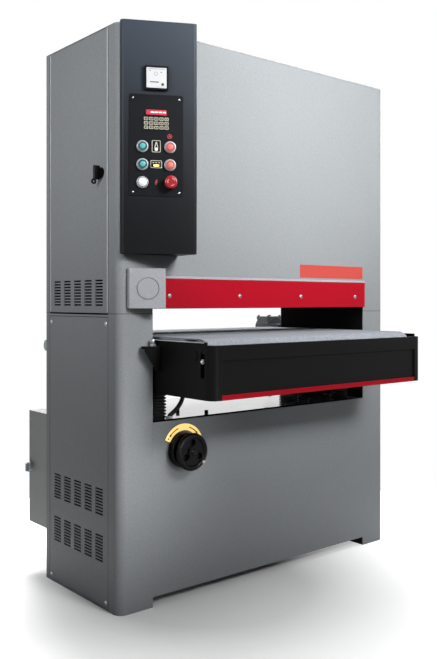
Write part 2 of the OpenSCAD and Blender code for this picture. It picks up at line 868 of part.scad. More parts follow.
// Flanged bearing with its round housing
module flanged_bearing(x0, x1, flange_at, flange_t) {
    housing_r = drum_shaft_r + 18;
    flange_r = housing_r + 8;
    difference() {
        union() {
            rod_x(x0, x1, housing_r, drum_axis.x, drum_axis.y);
            rod_x(flange_at, flange_at + flange_t, flange_r, drum_axis.x, drum_axis.y);
        }
        rod_x(x0 - 1, x1 + 1, drum_shaft_r + fit, drum_axis.x, drum_axis.y);
    }
}

module drum_bearings() {
    left_face = arm_left_x - arm_plate_t;
    flange_t = 5;
    color(steel) {
        flanged_bearing(left_face - bearing_t, left_face, left_face - flange_t, flange_t);
        flanged_bearing(frame_x, frame_x + 2 * bearing_t, frame_x, flange_t);
    }
}

// Rubber-covered drum with its shaft and, beyond the frame plate, its pulley
module contact_drum() {
    color(rubber) {
        rod_x(-drum_l / 2, drum_l / 2, drum_r, drum_axis.x, drum_axis.y);
        rod_x(arm_left_x - arm_plate_t - bearing_t, pulley_x + drive_w + shaft_end, drum_shaft_r,
            drum_axis.x, drum_axis.y);
        pulley(drum_axis.x, drum_axis.y, drum_pulley_r);
    }
}

// Flat pulley with a flange at each side
module pulley(y, z, r) {
    lip = 2;
    rod_x(pulley_x, pulley_x + drive_w, r, y, z);
    for (x = [pulley_x - lip, pulley_x + drive_w]) rod_x(x, x + lip, r + drive_t, y, z);
}

module motor_pulley() {
    color(steel) {
        rod_x(half_throat - motor_bore_l, pulley_x + drive_w + shaft_end, motor_shaft_r, motor_y, motor_z);
        pulley(motor_y, motor_z, motor_pulley_r);
    }
}

module drive_belt() {
    color(rubber) band([motor_y, motor_z], motor_pulley_r + run_gap, drum_axis, drum_pulley_r + run_gap,
        drive_t, pulley_x + 1, pulley_x + drive_w - 1);
}

// Flange-mounted motor: ribbed body, fan cowl and terminal box
module main_motor() {
    cowl_l = 50;
    fins = 20;
    fin_h = 9;
    fin_t = 4;
    flange_r = motor_r + 20;
    terminal_x = half_throat - motor_l + 110;
    terminal_low_z = motor_z + motor_r - 20;
    terminal = [110, 100, 65];
    color("#5c6266") difference() {
        union() {
            rod_x(half_throat - motor_flange_t, half_throat, flange_r, motor_y, motor_z);
            rod_x(half_throat - motor_l + cowl_l, half_throat, motor_r - fin_h, motor_y, motor_z);
            rod_x(half_throat - motor_l, half_throat - motor_l + cowl_l, motor_r, motor_y, motor_z);
            for (i = [0 : fins - 1]) translate([half_throat - motor_l + cowl_l, motor_y, motor_z])
                rotate([i * 360 / fins, 0, 0])
                    translate([0, -fin_t / 2, 0])
                        cube([motor_l - cowl_l - motor_flange_t, fin_t, motor_r - 1]);
            translate([terminal_x, motor_y - terminal.y / 2, terminal_low_z]) cube(terminal);
        }
        rod_x(half_throat - motor_bore_l - shaft_gap, half_throat + 1, motor_shaft_r + fit, motor_y, motor_z);
    }
}

module tension_roller() {
    color(steel) {
        tube_roller(-drum_l / 2, drum_l / 2, tension_r, tension_axis.x, tension_axis.y);
        rod_x(-drum_l / 2 - yoke_gap - yoke_t + 1, drum_l / 2 + yoke_gap + yoke_t - 1, tension_shaft_r,
            tension_axis.x, tension_axis.y);
    }
}

// Fork that carries the tension roller and swivels on its post to track the belt
module tracking_yoke() {
    inner = drum_l / 2 + yoke_gap;
    mid = tension_axis.x;
    color(dark_paint) {
        block([-inner, mid - yoke_w / 2, yoke_z], [inner, mid + yoke_w / 2, yoke_z + yoke_h]);
        for (s = [-1, 1]) difference() {
            block([s > 0 ? inner : -inner - yoke_t, mid - yoke_w / 2, yoke_z],
                [s > 0 ? inner + yoke_t : -inner, mid + yoke_w / 2, tension_axis.y + yoke_w / 2]);
            rod_x(-inner - yoke_t - 1, inner + yoke_t + 1, tension_shaft_r + fit, mid, tension_axis.y);
        }
        translate([0, mid, arm_z + arm_h + post_gap]) cylinder(h = yoke_z - arm_z - arm_h, r = post_r);
    }
}

module sanding_belt() {
    color("#8a5a34") band(drum_axis, drum_r + run_gap, tension_axis, tension_r + run_gap, sanding_t,
        -sanding_w / 2, sanding_w / 2);
}

module pressure_roller(y) {
    color(rubber) {
        rod_x(-drum_l / 2, drum_l / 2, pressure_r, y, pressure_z);
        rod_x(-block_x - block_t + 1, block_x + block_t - 1, pressure_shaft_r, y, pressure_z);
    }
}

module infeed_roller() { pressure_roller(infeed_y); }

module outfeed_roller() { pressure_roller(outfeed_y); }

// Duct behind the drum, open towards it, with two round ports through the rear panel
module dust_hood() {
    y0 = drum_axis.x + drum_r + hood_gap;
    y1 = rear_y - sheet;
    color("#7d8286") difference() {
        union() {
            block([-hood_half_w, y0, hood_z0], [hood_half_w, y1, hood_z1]);
            for (s = [-1, 1]) {
                rod_y(y1 - hood_wall, rear_y + port_shoulder, port_r + port_shoulder,
                    s * port_pitch / 2, port_z);
                rod_y(rear_y, rear_y + port_shoulder + port_l, port_r, s * port_pitch / 2, port_z);
            }
        }
        block([-hood_half_w + hood_wall, y0 - 1, hood_z0 + hood_wall],
            [hood_half_w - hood_wall, y1 - hood_wall, hood_z1 - hood_wall]);
        for (s = [-1, 1])
            rod_y(y1 - 2 * hood_wall, rear_y + port_shoulder + port_l + 1, port_r - hood_wall,
                s * port_pitch / 2, port_z);
    }
}

// Knuckles of the electrical door's hinges; the door takes the upper half of each
module knuckles(lift, bore_r) {
    for (z = knuckle_zs) translate([knuckle_axis.x, knuckle_axis.y, z + lift]) difference() {
        cylinder(h = knuckle_l - run_gap, r = knuckle_r);
        translate([0, 0, -1]) cylinder(h = knuckle_l + 2, r = bore_r);
    }
}

module electrical_box() {
    back = ebox_y1 - ebox_wall - run_gap;
    color("#8d9193") {
        difference() {
            block([ebox_x0, rear_y, ebox_z], [ebox_x1, back, ebox_z + ebox_h]);
            block([ebox_x0 + ebox_wall, rear_y + ebox_wall, ebox_z + ebox_wall],
                [ebox_x1 - ebox_wall, back + 1, ebox_z + ebox_h - ebox_wall]);
            rod_x(ebox_x0 - 1, ebox_x0 + ebox_wall + 1, switch_shaft_r + fit, switch_y, switch_z);
        }
        knuckles(0, 0);
        for (z = knuckle_zs) {
            block([ebox_x1, knuckle_axis.y - knuckle_r, z],
                [ebox_x1 + knuckle_r, knuckle_axis.y - 2, z + knuckle_l - run_gap]);
            translate([knuckle_axis.x, knuckle_axis.y, z]) cylinder(h = 2 * knuckle_l - 2, r = knuckle_pin_r);
        }
    }
}

module electrical_door() {
    y0 = ebox_y1 - ebox_wall;
    color("#8d9193") {
        block([ebox_x0, y0, ebox_z], [ebox_x1 - run_gap, ebox_y1, ebox_z + ebox_h]);
        knuckles(knuckle_l, knuckle_pin_r + fit);
        for (z = knuckle_zs)
            block([ebox_x1 - 1, y0, z + knuckle_l],
                [ebox_x1 + knuckle_r - knuckle_pin_r - 1, ebox_y1, z + 2 * knuckle_l - run_gap]);
    }
}

// Round switch knob with a grip bar on the left wall of the electrical box
module main_switch_knob() {
    knob_r = 17;
    knob_h = 16;
    grip_h = 8;
    grip_w = 8;
    grip_half_l = knob_r - 3;
    shaft_l = 14;
    color("#8a8e91") {
        rod_x(ebox_x0 - knob_h, ebox_x0 - run_gap, knob_r, switch_y, switch_z);
        rod_x(ebox_x0 - knob_h / 2, ebox_x0 + ebox_wall + shaft_l, switch_shaft_r, switch_y, switch_z);
        block([ebox_x0 - knob_h - grip_h, switch_y - grip_w / 2, switch_z - grip_half_l],
            [ebox_x0 - knob_h + 1, switch_y + grip_w / 2, switch_z + grip_half_l]);
    }
}

// Pressure regulator on the rear sheet: body, gauge to the left, adjusting cap on top
module air_regulator() {
    x = -half_w + 42;
    z = seam_z - 115;
    side = 34;
    depth = 38;
    low_z = z - 24;
    top_z = z + 20;
    axis_y = rear_y + 21;
    gauge_r = 19;
    gauge_l = 15;
    cap_r = 13;
    cap_l = 18;
    color("#a3a7aa") {
        block([x - side / 2, rear_y, low_z], [x + side / 2, rear_y + depth, top_z]);
        rod_x(x - side / 2 - gauge_l, x - side / 2, gauge_r, axis_y, z);
        translate([x, axis_y, top_z]) cylinder(h = cap_l, r = cap_r);
    }
}

// Closed jack housings bolted under the deck
module screw_jacks() {
    foot_t = 12;
    can_r = jack_w / 2 - 8;
    color("#5c6266") for (x = [-screw_x, screw_x], y = screw_ys) difference() {
        union() {
            translate([x - jack_w / 2, y - jack_w / 2, jack_z + jack_h - foot_t])
                cube([jack_w, jack_w, foot_t]);
            translate([x, y, jack_z]) cylinder(h = jack_h, r = can_r);
        }
        translate([x, y, jack_z - 1]) cylinder(h = jack_h + 2, r = screw_r + fit);
    }
}

module lift_screws() {
    color(steel) for (x = [-screw_x, screw_x], y = screw_ys)
        translate([x, y, screw_low_z]) cylinder(h = cross_z - screw_low_z, r = screw_r);
}

// Folded rubber sleeves round the screws, from the deck to the table
module screw_bellows() {
    h = cross_z - deck_z;
    steps = 2 * bellows_folds;
    outer = [for (i = [0 : steps]) [bellows_r - (i % 2) * bellows_depth, i * h / steps]];
    inner = [for (i = [steps : -1 : 0]) outer[i] - [bellows_wall, 0]];
    color(rubber) for (x = [-screw_x, screw_x], y = screw_ys)
        translate([x, y, deck_z]) rotate_extrude() polygon(concat(outer, inner));
}

// Gear case behind the apron with its motor below, and the snout that carries the handwheel
module lift_gearbox() {
    color(dark_paint) difference() {
        union() {
            block([-wheel_x - gearbox_w / 2, front_y + sheet, gearbox_low_z],
                [-wheel_x + gearbox_w / 2, front_y + sheet + gearbox_d, jack_z - 1]);
            rod_y(front_y - snout_l, front_y + sheet, snout_r, -wheel_x, wheel_z);
            translate([-wheel_x, front_y + sheet + gearbox_d / 2, gearbox_low_z - lift_motor_l])
                cylinder(h = lift_motor_l, r = lift_motor_r);
        }
        rod_y(front_y - snout_l - 1, front_y + wheel_bore_l, wheel_shaft_r + fit, -wheel_x, wheel_z);
    }
}

// Dished wheel with a round rim, three lightening holes and its shaft
module handwheel() {
    rim = 9;
    web_t = 7;
    hub_r = 18;
    hub_l = 24;
    hole_r = (wheel_r - 2 * rim - hub_r) / 2;
    shaft_recess = 4;
    shaft_gap_y = 10;
    color(black_plastic) {
        rod_y(wheel_face_y + shaft_recess, front_y + wheel_bore_l - shaft_gap_y, wheel_shaft_r,
            -wheel_x, wheel_z);
        translate([-wheel_x, wheel_face_y, wheel_z]) rotate([-90, 0, 0]) difference() {
            union() {
                cylinder(h = hub_l, r = hub_r);
                translate([0, 0, rim - web_t / 2]) cylinder(h = web_t, r = wheel_r - rim);
                translate([0, 0, rim]) rotate_extrude() translate([wheel_r - rim, 0]) circle(rim);
            }
            for (a = [30 : 120 : 270]) rotate([0, 0, a]) translate([(hub_r + wheel_r - 2 * rim) / 2, 0, -1])
                cylinder(h = hub_l, r = hole_r - 1);
        }
    }
}

// Side plates with the roller bores and adjusting slot, tied by two cross members over the lift screws
module table_frame() {
    color(dark_paint) difference() {
        union() {
            for (s = [-1, 1]) block([s > 0 ? side_x : -half_table, side_y0, table_low_z],
                [s > 0 ? half_table : -side_x, table_end_y, table_z - feed_t - 3]);
            for (y = screw_ys)
                block([-side_x, y - cross_w / 2, cross_z], [side_x, y + cross_w / 2, cross_z + cross_h]);
            translate(conduit_top)
                cylinder(h = conduit_boss_h, r = conduit_boss_r);
        }
        for (y = [front_roller_y, rear_roller_y])
            rod_x(-half_table - 1, half_table + 1, feed_shaft_r + fit, y, roller_z);
        along_x(-half_table - 1, -side_x + 1) translate([slot_y, 0])
            taut_outline([0, slot_z[0] + slot_w / 2], slot_w / 2, [0, slot_z[1] - slot_w / 2], slot_w / 2);
    }
}

module bed_plate() {
    roller_gap = 10;
    margin = feed_r + roller_gap;
    color(steel) block([-side_x, front_roller_y + margin, table_z - feed_t - bed_t],
        [side_x, rear_roller_y - margin, table_z - feed_t]);
}

module conveyor_belt() {
    color("#cdd2da") band([front_roller_y, roller_z], feed_r, [rear_roller_y, roller_z], feed_r, feed_t,
        -feed_w / 2, feed_w / 2);
}

module feed_roller(y, drive_l) {
    color(steel) {
        tube_roller(-feed_w / 2 - roller_over, feed_w / 2 + roller_over, feed_r - run_gap, y, roller_z);
        rod_x(-half_table, half_table + drive_l, feed_shaft_r, y, roller_z);
    }
}

module feed_drive_roller() { feed_roller(rear_roller_y, drive_shaft_l); }

module feed_idler_roller() { feed_roller(front_roller_y, 0); }

// Plan of the table's front cover: a channel with rounded front corners
module cover_plan(inset, depth) {
    r = cover_d - 2 - inset;
    w = half_table - inset;
    low_y = table_front_y + inset;
    intersection() {
        union() {
            translate([-w + r, low_y]) square([2 * (w - r), depth - inset]);
            translate([-w, low_y + r]) square([2 * w, depth - inset - r]);
            for (s = [-1, 1]) translate([s * (w - r), low_y + r]) circle(r);
        }
        translate([-w, low_y]) square([2 * w, depth - inset]);
    }
}

module front_cover() {
    color(dark_paint) difference() {
        translate([0, 0, table_low_z]) linear_extrude(cover_top_z - table_low_z) difference() {
            cover_plan(0, cover_d);
            cover_plan(cover_wall, cover_d + 1);
        }
        block([-inset_half_w, table_front_y - 1, table_low_z - 1],
            [inset_half_w, table_front_y + inset_depth, inset_top_z]);
    }
}

module front_trim() {
    color(red_paint) block([-inset_half_w, table_front_y + 1, table_low_z],
        [inset_half_w, table_front_y + inset_depth, table_low_z + trim_h]);
}

// Gear case on the drive roller's end, with the motor behind it
module feed_motor() {
    case_w = 58;
    case_d = 62;
    case_drop = 52;
    case_rise = 60;
    can_r = 42;
    can_l = 90;
    can_gap = 4;
    can_x = half_table + can_r + can_gap;
    can_rise = 46;
    color("#6c7276") difference() {
        union() {
            block([half_table, rear_roller_y - case_d / 2, roller_z - case_drop],
                [half_table + case_w, rear_roller_y + case_d / 2, roller_z + case_rise]);
            rod_y(rear_roller_y + case_d / 2, rear_roller_y + case_d / 2 + can_l, can_r,
                can_x, roller_z + can_rise);
        }
        rod_x(half_table - 1, half_table + drive_shaft_l + shaft_gap, feed_shaft_r + fit,
            rear_roller_y, roller_z);
    }
}

// Gusset on the table's left side with an upright stop bolt that meets the bar end housing
module limit_bracket() {
    y0 = front_y - 34;
    top_z = table_z - 27;
    left_x = -half_w + 76;
    gusset_t = 8;
    gusset_h = 75;
    nose_h = 14;
    foot_w = 18;
    shelf_d = 18;
    bolt_x = left_x + 38;
    bolt_y = y0 + gusset_t + shelf_d / 2;
    nut_r = 9;
    nut_h = 6;
    bolt_r = 5;
    bolt_l = 16;
    color(black_plastic) {
        along_y(y0, y0 + gusset_t) polygon([
            [-half_table, top_z - gusset_h], [-half_table, top_z], [left_x, top_z], [left_x, top_z - nose_h],
            [-half_table - foot_w, top_z - gusset_h]
        ]);
        block([left_x, y0 + gusset_t, top_z - gusset_t], [-half_table, y0 + gusset_t + shelf_d, top_z]);
    }
    color(steel) {
        translate([bolt_x, bolt_y, top_z]) cylinder(h = nut_h, r = nut_r, $fn = 6);
        translate([bolt_x, bolt_y, top_z + nut_h]) cylinder(h = bolt_l, r = bolt_r);
    }
}

// Ring of points round the conduit's path, across its direction
function conduit_point(t) = let (
        u = 1 - t,
        p = [
            conduit_top, conduit_top - [0, 0, conduit_lead[0]],
            conduit_foot + [0, 0, conduit_lead[1]], conduit_foot
        ]
    ) u * u * u * p[0] + 3 * u * u * t * p[1] + 3 * u * t * t * p[2] + t * t * t * p[3];
function conduit_heading(t) =
    t < 0.01 || t > 0.99 ? [0, 0, -1] : unit(conduit_point(t + 0.005) - conduit_point(t - 0.005));
function conduit_ring(t, r) = let (
        c = conduit_point(t),
        h = conduit_heading(t),
        side = unit(cross(h, [0, 1, 0])),
        back = cross(side, h)
    ) [for (k = [0 : conduit_sides - 1]) let (a = k * 360 / conduit_sides)
        c + r * cos(a) * side + r * sin(a) * back];

// Ribbed hose with its bore: outer rings run down, inner rings run back up
module flexible_conduit() {
    n = conduit_sides;
    last = 2 * conduit_rings - 1;
    rings = [for (i = [0 : last]) let (k = i < conduit_rings ? i : last - i, t = k / (conduit_rings - 1))
        each conduit_ring(t, i < conduit_rings ? conduit_r - (k % 2) * conduit_rib : conduit_bore_r)];
    faces = [for (i = [0 : last], k = [0 : n - 1])
        let (a = i * n, b = ((i + 1) % (last + 1)) * n, m = (k + 1) % n)
        each [[a + k, a + m, b + m], [a + k, b + m, b + k]]];
    color(rubber) polyhedron(rings, faces);
}

left_column();
right_column();
left_frame_plate();
right_frame_plate();
front_apron();
rear_apron();
base_deck();
left_service_panel();
right_service_panel();
head_front_panel();
head_rear_panel();
head_top_cover();
right_head_cover();
control_box();
control_plate();
ammeter();
button_bezels();
pilot_lamp();
bar_end_housing();
guard_bar();
cross_beams();
roller_blocks();
cantilever_beam();
drum_bearings();
dust_hood();
sanding_belt();
main_motor();
drive_belt();
electrical_box();
air_regulator();
screw_jacks();
lift_gearbox();
table_frame();
bed_plate();
front_cover();
front_trim();
conveyor_belt();
lift_screws();
screw_bellows();
feed_motor();
limit_bracket();
flexible_conduit();
handwheel();
feed_drive_roller();
feed_idler_roller();
contact_drum();
tension_roller();
tracking_yoke();
motor_pulley();
infeed_roller();
outfeed_roller();
left_door();
door_latch();
feed_start_button();
feed_stop_button();
drum_start_button();
drum_stop_button();
emergency_stop();
main_switch_knob();
electrical_door();
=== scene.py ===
# %% [markdown]
# # Wide belt sander
# A wide belt sander smooths broad boards: a conveyor table carries them under a head in which a wide loop
# of abrasive cloth runs over a rubber drum. The imported CAD part is the frame of this scene. The lesson
# paints its solids, adds what is too fine for the CAD source, replaces the soft pieces by meshes of its
# own, and sets up floor, light and camera. Lengths are millimetres in the part's own frame: x to the
# right, y to the back, z up.

import math

import bpy
import numpy as np
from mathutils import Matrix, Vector


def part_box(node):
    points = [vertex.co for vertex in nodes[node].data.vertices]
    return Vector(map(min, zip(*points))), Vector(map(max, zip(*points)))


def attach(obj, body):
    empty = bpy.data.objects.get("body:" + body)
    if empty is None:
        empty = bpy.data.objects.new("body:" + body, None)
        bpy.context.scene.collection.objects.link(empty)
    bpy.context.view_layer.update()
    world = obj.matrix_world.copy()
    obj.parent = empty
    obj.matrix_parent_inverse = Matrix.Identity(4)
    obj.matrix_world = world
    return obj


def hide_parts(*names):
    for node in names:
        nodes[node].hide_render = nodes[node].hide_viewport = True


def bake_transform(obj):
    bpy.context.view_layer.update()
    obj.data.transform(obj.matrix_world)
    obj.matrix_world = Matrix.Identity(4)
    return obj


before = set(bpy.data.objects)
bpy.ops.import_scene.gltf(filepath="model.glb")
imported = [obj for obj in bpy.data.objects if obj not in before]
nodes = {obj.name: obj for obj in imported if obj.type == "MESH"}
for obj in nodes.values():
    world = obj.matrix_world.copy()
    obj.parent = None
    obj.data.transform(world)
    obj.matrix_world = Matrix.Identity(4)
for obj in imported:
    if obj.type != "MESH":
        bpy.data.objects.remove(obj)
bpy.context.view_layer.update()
MM = 0.001

# %% [markdown]
# ## Shader maths
# A Blender material is a graph of nodes. Made one call at a time, a sum of three noises takes a dozen
# lines. Here a `Field` wraps an output socket and takes part in arithmetic, so the sum is written as a
# sum.

# %% Field


class Field:
    """An output socket that can be added, subtracted and multiplied."""

    def __init__(self, paint, socket):
        self.paint = paint
        self.socket = socket

    def maths(self, operation, a, b):
        """A Math node that works on a and b."""
        return self.paint.node("ShaderNodeMath", {0: a, 1: b}, operation=operation)

    def __add__(self, other):
        return self.maths("ADD", self, other)

    def __sub__(self, other):
        return self.maths("SUBTRACT", self, other)

    def __rsub__(self, other):
        return self.maths("SUBTRACT", other, self)

    def __mul__(self, other):
        return self.maths("MULTIPLY", self, other)

    __radd__ = __add__
    __rmul__ = __mul__

    def ramp(self, low, high):
        """0 below low, 1 above high, straight between."""
        inputs = {"Value": self, "From Min": low, "From Max": high}
        return self.paint.node("ShaderNodeMapRange", inputs, clamp=True)

    def mix(self, a, b):
        """Colour a where the field is 0, colour b where it is 1."""
        return self.paint.node("ShaderNodeMix", {"Factor": self, 6: a, 7: b}, out=2, data_type="RGBA")


print("fields: sums, products, ramps and mixes of sockets")

# %% [markdown]
# ## Paints
# A material or the world holds such a graph. `Paint` clears it and makes every node in one method: first
# the node's settings, then the values or links of its sockets. The other methods are the short graphs that
# several finishes share, so that a finish reads as a recipe.

# %% Paint


class Paint:
    """A material or world whose tree grows through node()."""

    def __init__(self, holder):
        self.holder = holder
        holder.use_nodes = True
        self.tree = holder.node_tree
        self.tree.nodes.clear()

    def node(self, kind, inputs=None, out=0, **settings):
        """A new node with its settings and inputs; gives back its output named out as a field."""
        made = self.tree.nodes.new(kind)
        for key, value in settings.items():
            setattr(made, key, value)
        for key, value in (inputs or {}).items():
            if isinstance(value, Field):
                self.tree.links.new(value.socket, made.inputs[key])
            else:
                made.inputs[key].default_value = value
        return Field(self, made.outputs[out]) if len(made.outputs) else None

    def place(self):
        """Object coordinates, which are metres in the part's frame."""
        return self.node("ShaderNodeTexCoord", out="Object")

    def noise(self, scale, detail=2.0, rough=0.5):
        """Cloudy values round 0.5, with about scale bumps to the metre."""
        inputs = {"Vector": self.place(), "Scale": scale, "Detail": detail, "Roughness": rough}
        return self.node("ShaderNodeTexNoise", inputs)

    def bump(self, height, distance):
        """A normal tilted as if the surface rose by height times distance, in metres."""
        return self.node("ShaderNodeBump", {"Height": height, "Distance": distance, "Strength": 1.0})

    def surface(self, **inputs):
        """A Principled surface: base_color is its socket Base Color, and so on."""
        sockets = {key.replace("_", " ").title().replace("Ior", "IOR"): v for key, v in inputs.items()}
        shader = self.node("ShaderNodeBsdfPrincipled", sockets)
        self.node("ShaderNodeOutputMaterial", {"Surface": shader})
        return self.holder


def srgb(r, g, b):
    """Screen values from 0 to 255 as the linear colour that shaders take."""
    c = np.array([r, g, b], float) / 255
    c = np.where(c <= 0.04045, c / 12.92, ((c + 0.055) / 1.055) ** 2.4)
    return (*c.tolist(), 1.0)


print("shader tools ready")

# %% [markdown]
# ## Painted sheet
# The cabinet's sheets carry a baked powder coat: a fine sparkle, a faint orange peel, and a tone that
# drifts over a metre. A picture of paint would need a map for every panel. Noise on Object coordinates
# needs none, and its pattern runs on from one panel to the next as in one spray booth.

# %% Powder coat
GRAIN, SPECKLE, DRIFT, PEEL = 1400, 260, 3, 420
PEEL_DEPTH = 0.00006
COAT_SHINE = 0.06


def shaded(colour, factor):
    """A colour made darker or lighter by a factor, at most white."""
    return tuple(min(1.0, factor * c) for c in colour[:3]) + (1.0,)


def powder_coat(name, colour, metallic, roughness=0.42):
    """Grain, speckle and drift, weighted and added, pick a tone between a darker and a lighter colour."""
    paint = Paint(bpy.data.materials.new(name))
    drift = paint.noise(DRIFT)
    tone = paint.noise(GRAIN) * 0.35 + paint.noise(SPECKLE, detail=1) * 0.5 + drift * 0.15
    return paint.surface(
        base_color=tone.ramp(0.3, 0.7).mix(shaded(colour, 0.84), shaded(colour, 1.14)),
        metallic=metallic,
        roughness=roughness + (drift - 0.5) * 0.08,
        specular_ior_level=COAT_SHINE,
        normal=paint.bump(paint.noise(PEEL), PEEL_DEPTH),
    )


SILVER = powder_coat("silver_coat", srgb(115, 118, 120), metallic=0.06, roughness=0.54)
PALE = powder_coat("pale_coat", srgb(136, 138, 142), metallic=0.03)
BOX_GREY = powder_coat("satin_painted_reflection", srgb(132, 133, 133), metallic=0.02)
print("powder coats:", len(bpy.data.materials))

# %% [markdown]
# ## Smooth paints, plastics and metals
# Buttons, plates, castings and bright metal have one even colour. With one even gloss too they would look
# like film, so a slow noise makes each a little duller and shinier, as handling does, and a fine bump
# breaks its reflections. Lamps shine a little by themselves, which is simpler than a lamp behind each. The
# yellow plates glow too, though they are no lamps: that glow is painted light, to keep them bright in
# shade.

# %% Plain finishes
WEAR = 9
WEAR_SPREAD = 0.12


def plain(name, colour, roughness, metallic=0.0, bump_scale=600, peel=0.00004, coat=0.0, shine=0.3):
    """One colour whose roughness wanders round its mean by a slow noise."""
    paint = Paint(bpy.data.materials.new(name))
    return paint.surface(
        base_color=colour,
        metallic=metallic,
        roughness=roughness + (paint.noise(WEAR, detail=3) - 0.5) * WEAR_SPREAD,
        coat_weight=coat,
        specular_ior_level=shine,
        normal=paint.bump(paint.noise(bump_scale), peel),
    )


def glow(name, colour, strength, roughness=0.3):
    """One colour that also sends out some light of its own."""
    paint = Paint(bpy.data.materials.new(name))
    return paint.surface(
        base_color=colour,
        roughness=roughness,
        emission_color=colour,
        emission_strength=strength,
    )


DECK = plain("deck_gloss", srgb(150, 152, 154), 0.2, peel=0.0, coat=1.0, shine=0.6)
# A pale paint for painted highlights on edges that catch the light.
EDGE_HIGHLIGHT = plain("edge_light", srgb(188, 191, 193), 0.5)
SEAM = plain("seam_shade", srgb(46, 47, 48), 0.7)
BLACK = plain("black_paint", srgb(13, 13, 13), 0.4, shine=0.05)
GLOSS = plain("gloss_black", srgb(6, 6, 7), 0.28, shine=0.1)
OVERLAY = plain("overlay_black", srgb(8, 10, 13), 0.4, shine=0.08)
# Black for gaps and for painted shade in slots, recesses and shadowed edges.
SHADE_BLACK = plain("painted_shade_black", srgb(3, 3, 3), 0.9, shine=0.02)
WALL = plain("wall_black", srgb(16, 16, 16), 0.8, shine=0.05)
RUBBER = plain("black_rubber", srgb(22, 22, 23), 0.62)
RED = plain("red_paint", srgb(132, 4, 22), 0.4, shine=0.08)
ORANGE = plain("badge_red", srgb(150, 52, 46), 0.4)
STEEL = plain("steel", srgb(150, 152, 155), 0.34, metallic=1.0)
CHROME = plain("chrome", srgb(150, 152, 156), 0.28, metallic=1.0, peel=0.0)
BEZEL = plain("bezel_silver", srgb(132, 135, 139), 0.42, metallic=0.5, peel=0.0)
CAST = plain("cast_paint", srgb(92, 97, 101), 0.55, bump_scale=240, peel=0.0002)
GREEN = plain("green_button", srgb(12, 58, 62), 0.3)
GREEN_FACE = plain("green_face", srgb(62, 136, 138), 0.3)
SALMON = plain("red_button", srgb(150, 62, 58), 0.3)
SALMON_FACE = plain("red_face", srgb(176, 94, 86), 0.3)
SIGNAL = plain("stop_red", srgb(118, 4, 14), 0.26, shine=0.4)
MARK_RED = plain("mark_red", srgb(122, 36, 32), 0.5)
WHITE = plain("white_plastic", srgb(196, 198, 199), 0.4)
DIAL = plain("dial_face", srgb(160, 162, 163), 0.5, shine=0.2)
GREY = plain("grey_plastic", srgb(150, 154, 157), 0.45)
CREAM = plain("cream_print", srgb(148, 145, 130), 0.5)
# The yellow plates' glow is painted light: they are no lamps.
YELLOW_PAINTED_GLOW = glow("yellow_plate_painted_glow", srgb(252, 216, 128), 0.55, 0.45)
LED = glow("display_red", srgb(255, 196, 200), 0.8)
WINDOW = glow("display_window", srgb(150, 26, 40), 0.15)
print("materials so far:", len(bpy.data.materials))

# %% [markdown]
# ## Control box, conveyor belt and abrasive
# Three finishes need their own recipe. The control box is satin black and looks paler towards its top,
# where it mirrors the ceiling; that reflection is painted into its colour, which rises with the square of
# the height. The conveyor belt has a rough rubber nap with paler tips. The sanding belt is covered with
# brown grit. Real fibres or grains would cost millions of faces, so noise drives colour and bump together.

# %% Box coat with painted reflection, belt nap and grit
REFLECTION_FOOT, REFLECTION_TOP = 1.12, 1.78
BOX_SHINE = 0.1
NAP, WEAVE, GRIT_SIZE = 330, 120, 1500
NAP_DEPTH, GRIT_DEPTH = 0.0007, 0.0004


def satin_painted_reflection(name, low, high):
    """Satin black with a painted reflection of the ceiling: its colour goes from low to high with the
    square of the height, in metres.
    """
    paint = Paint(bpy.data.materials.new(name))
    painted_reflection = paint.node("ShaderNodeSeparateXYZ", {0: paint.place()}, out="Z").ramp(REFLECTION_FOOT, REFLECTION_TOP)
    return paint.surface(
        base_color=(painted_reflection * painted_reflection).mix(low, high),
        roughness=0.42 + (paint.noise(WEAR, detail=3) - 0.5) * WEAR_SPREAD,
        specular_ior_level=BOX_SHINE,
        normal=paint.bump(paint.noise(900), 0.00005),
    )


def belt_nap(name):
    """Rough-topped rubber: a fine and a coarse noise, averaged, make its tips paler."""
    paint = Paint(bpy.data.materials.new(name))
    nap = paint.noise(NAP, detail=3, rough=0.6)
    tips = (nap + paint.noise(WEAVE)) * 0.5
    return paint.surface(
        base_color=tips.ramp(0.3, 0.7).mix(srgb(100, 104, 110), srgb(134, 138, 144)),
        roughness=0.86,
        specular_ior_level=0.1,
        normal=paint.bump(nap, NAP_DEPTH),
    )


def abrasive(name):
    """Brown grit: one noise makes the grains both paler and higher."""
    paint = Paint(bpy.data.materials.new(name))
    grains = paint.noise(GRIT_SIZE)
    return paint.surface(
        base_color=grains.ramp(0.35, 0.65).mix(srgb(70, 38, 22), srgb(134, 82, 48)),
        roughness=0.9,
        normal=paint.bump(grains, GRIT_DEPTH),
    )


# The paler top of the control box is a painted reflection of the ceiling.
SATIN_PAINTED_REFLECTION = satin_painted_reflection("satin_black_painted_reflection", srgb(3, 4, 6), srgb(44, 50, 58))
BELT = belt_nap("conveyor_nap")
GRIT = abrasive("abrasive_grit")
print("materials:", len(bpy.data.materials))

# %% [markdown]
# ## Dressing the CAD nodes
# Each solid gets the finish of the real piece. Its edges are sharp, while folded sheet and castings have
# small radii that catch the light. Remodelling them would change the CAD, so a live Bevel rounds them
# instead, after a Weld that joins the loose triangles. The CAD vertices stay as they are.

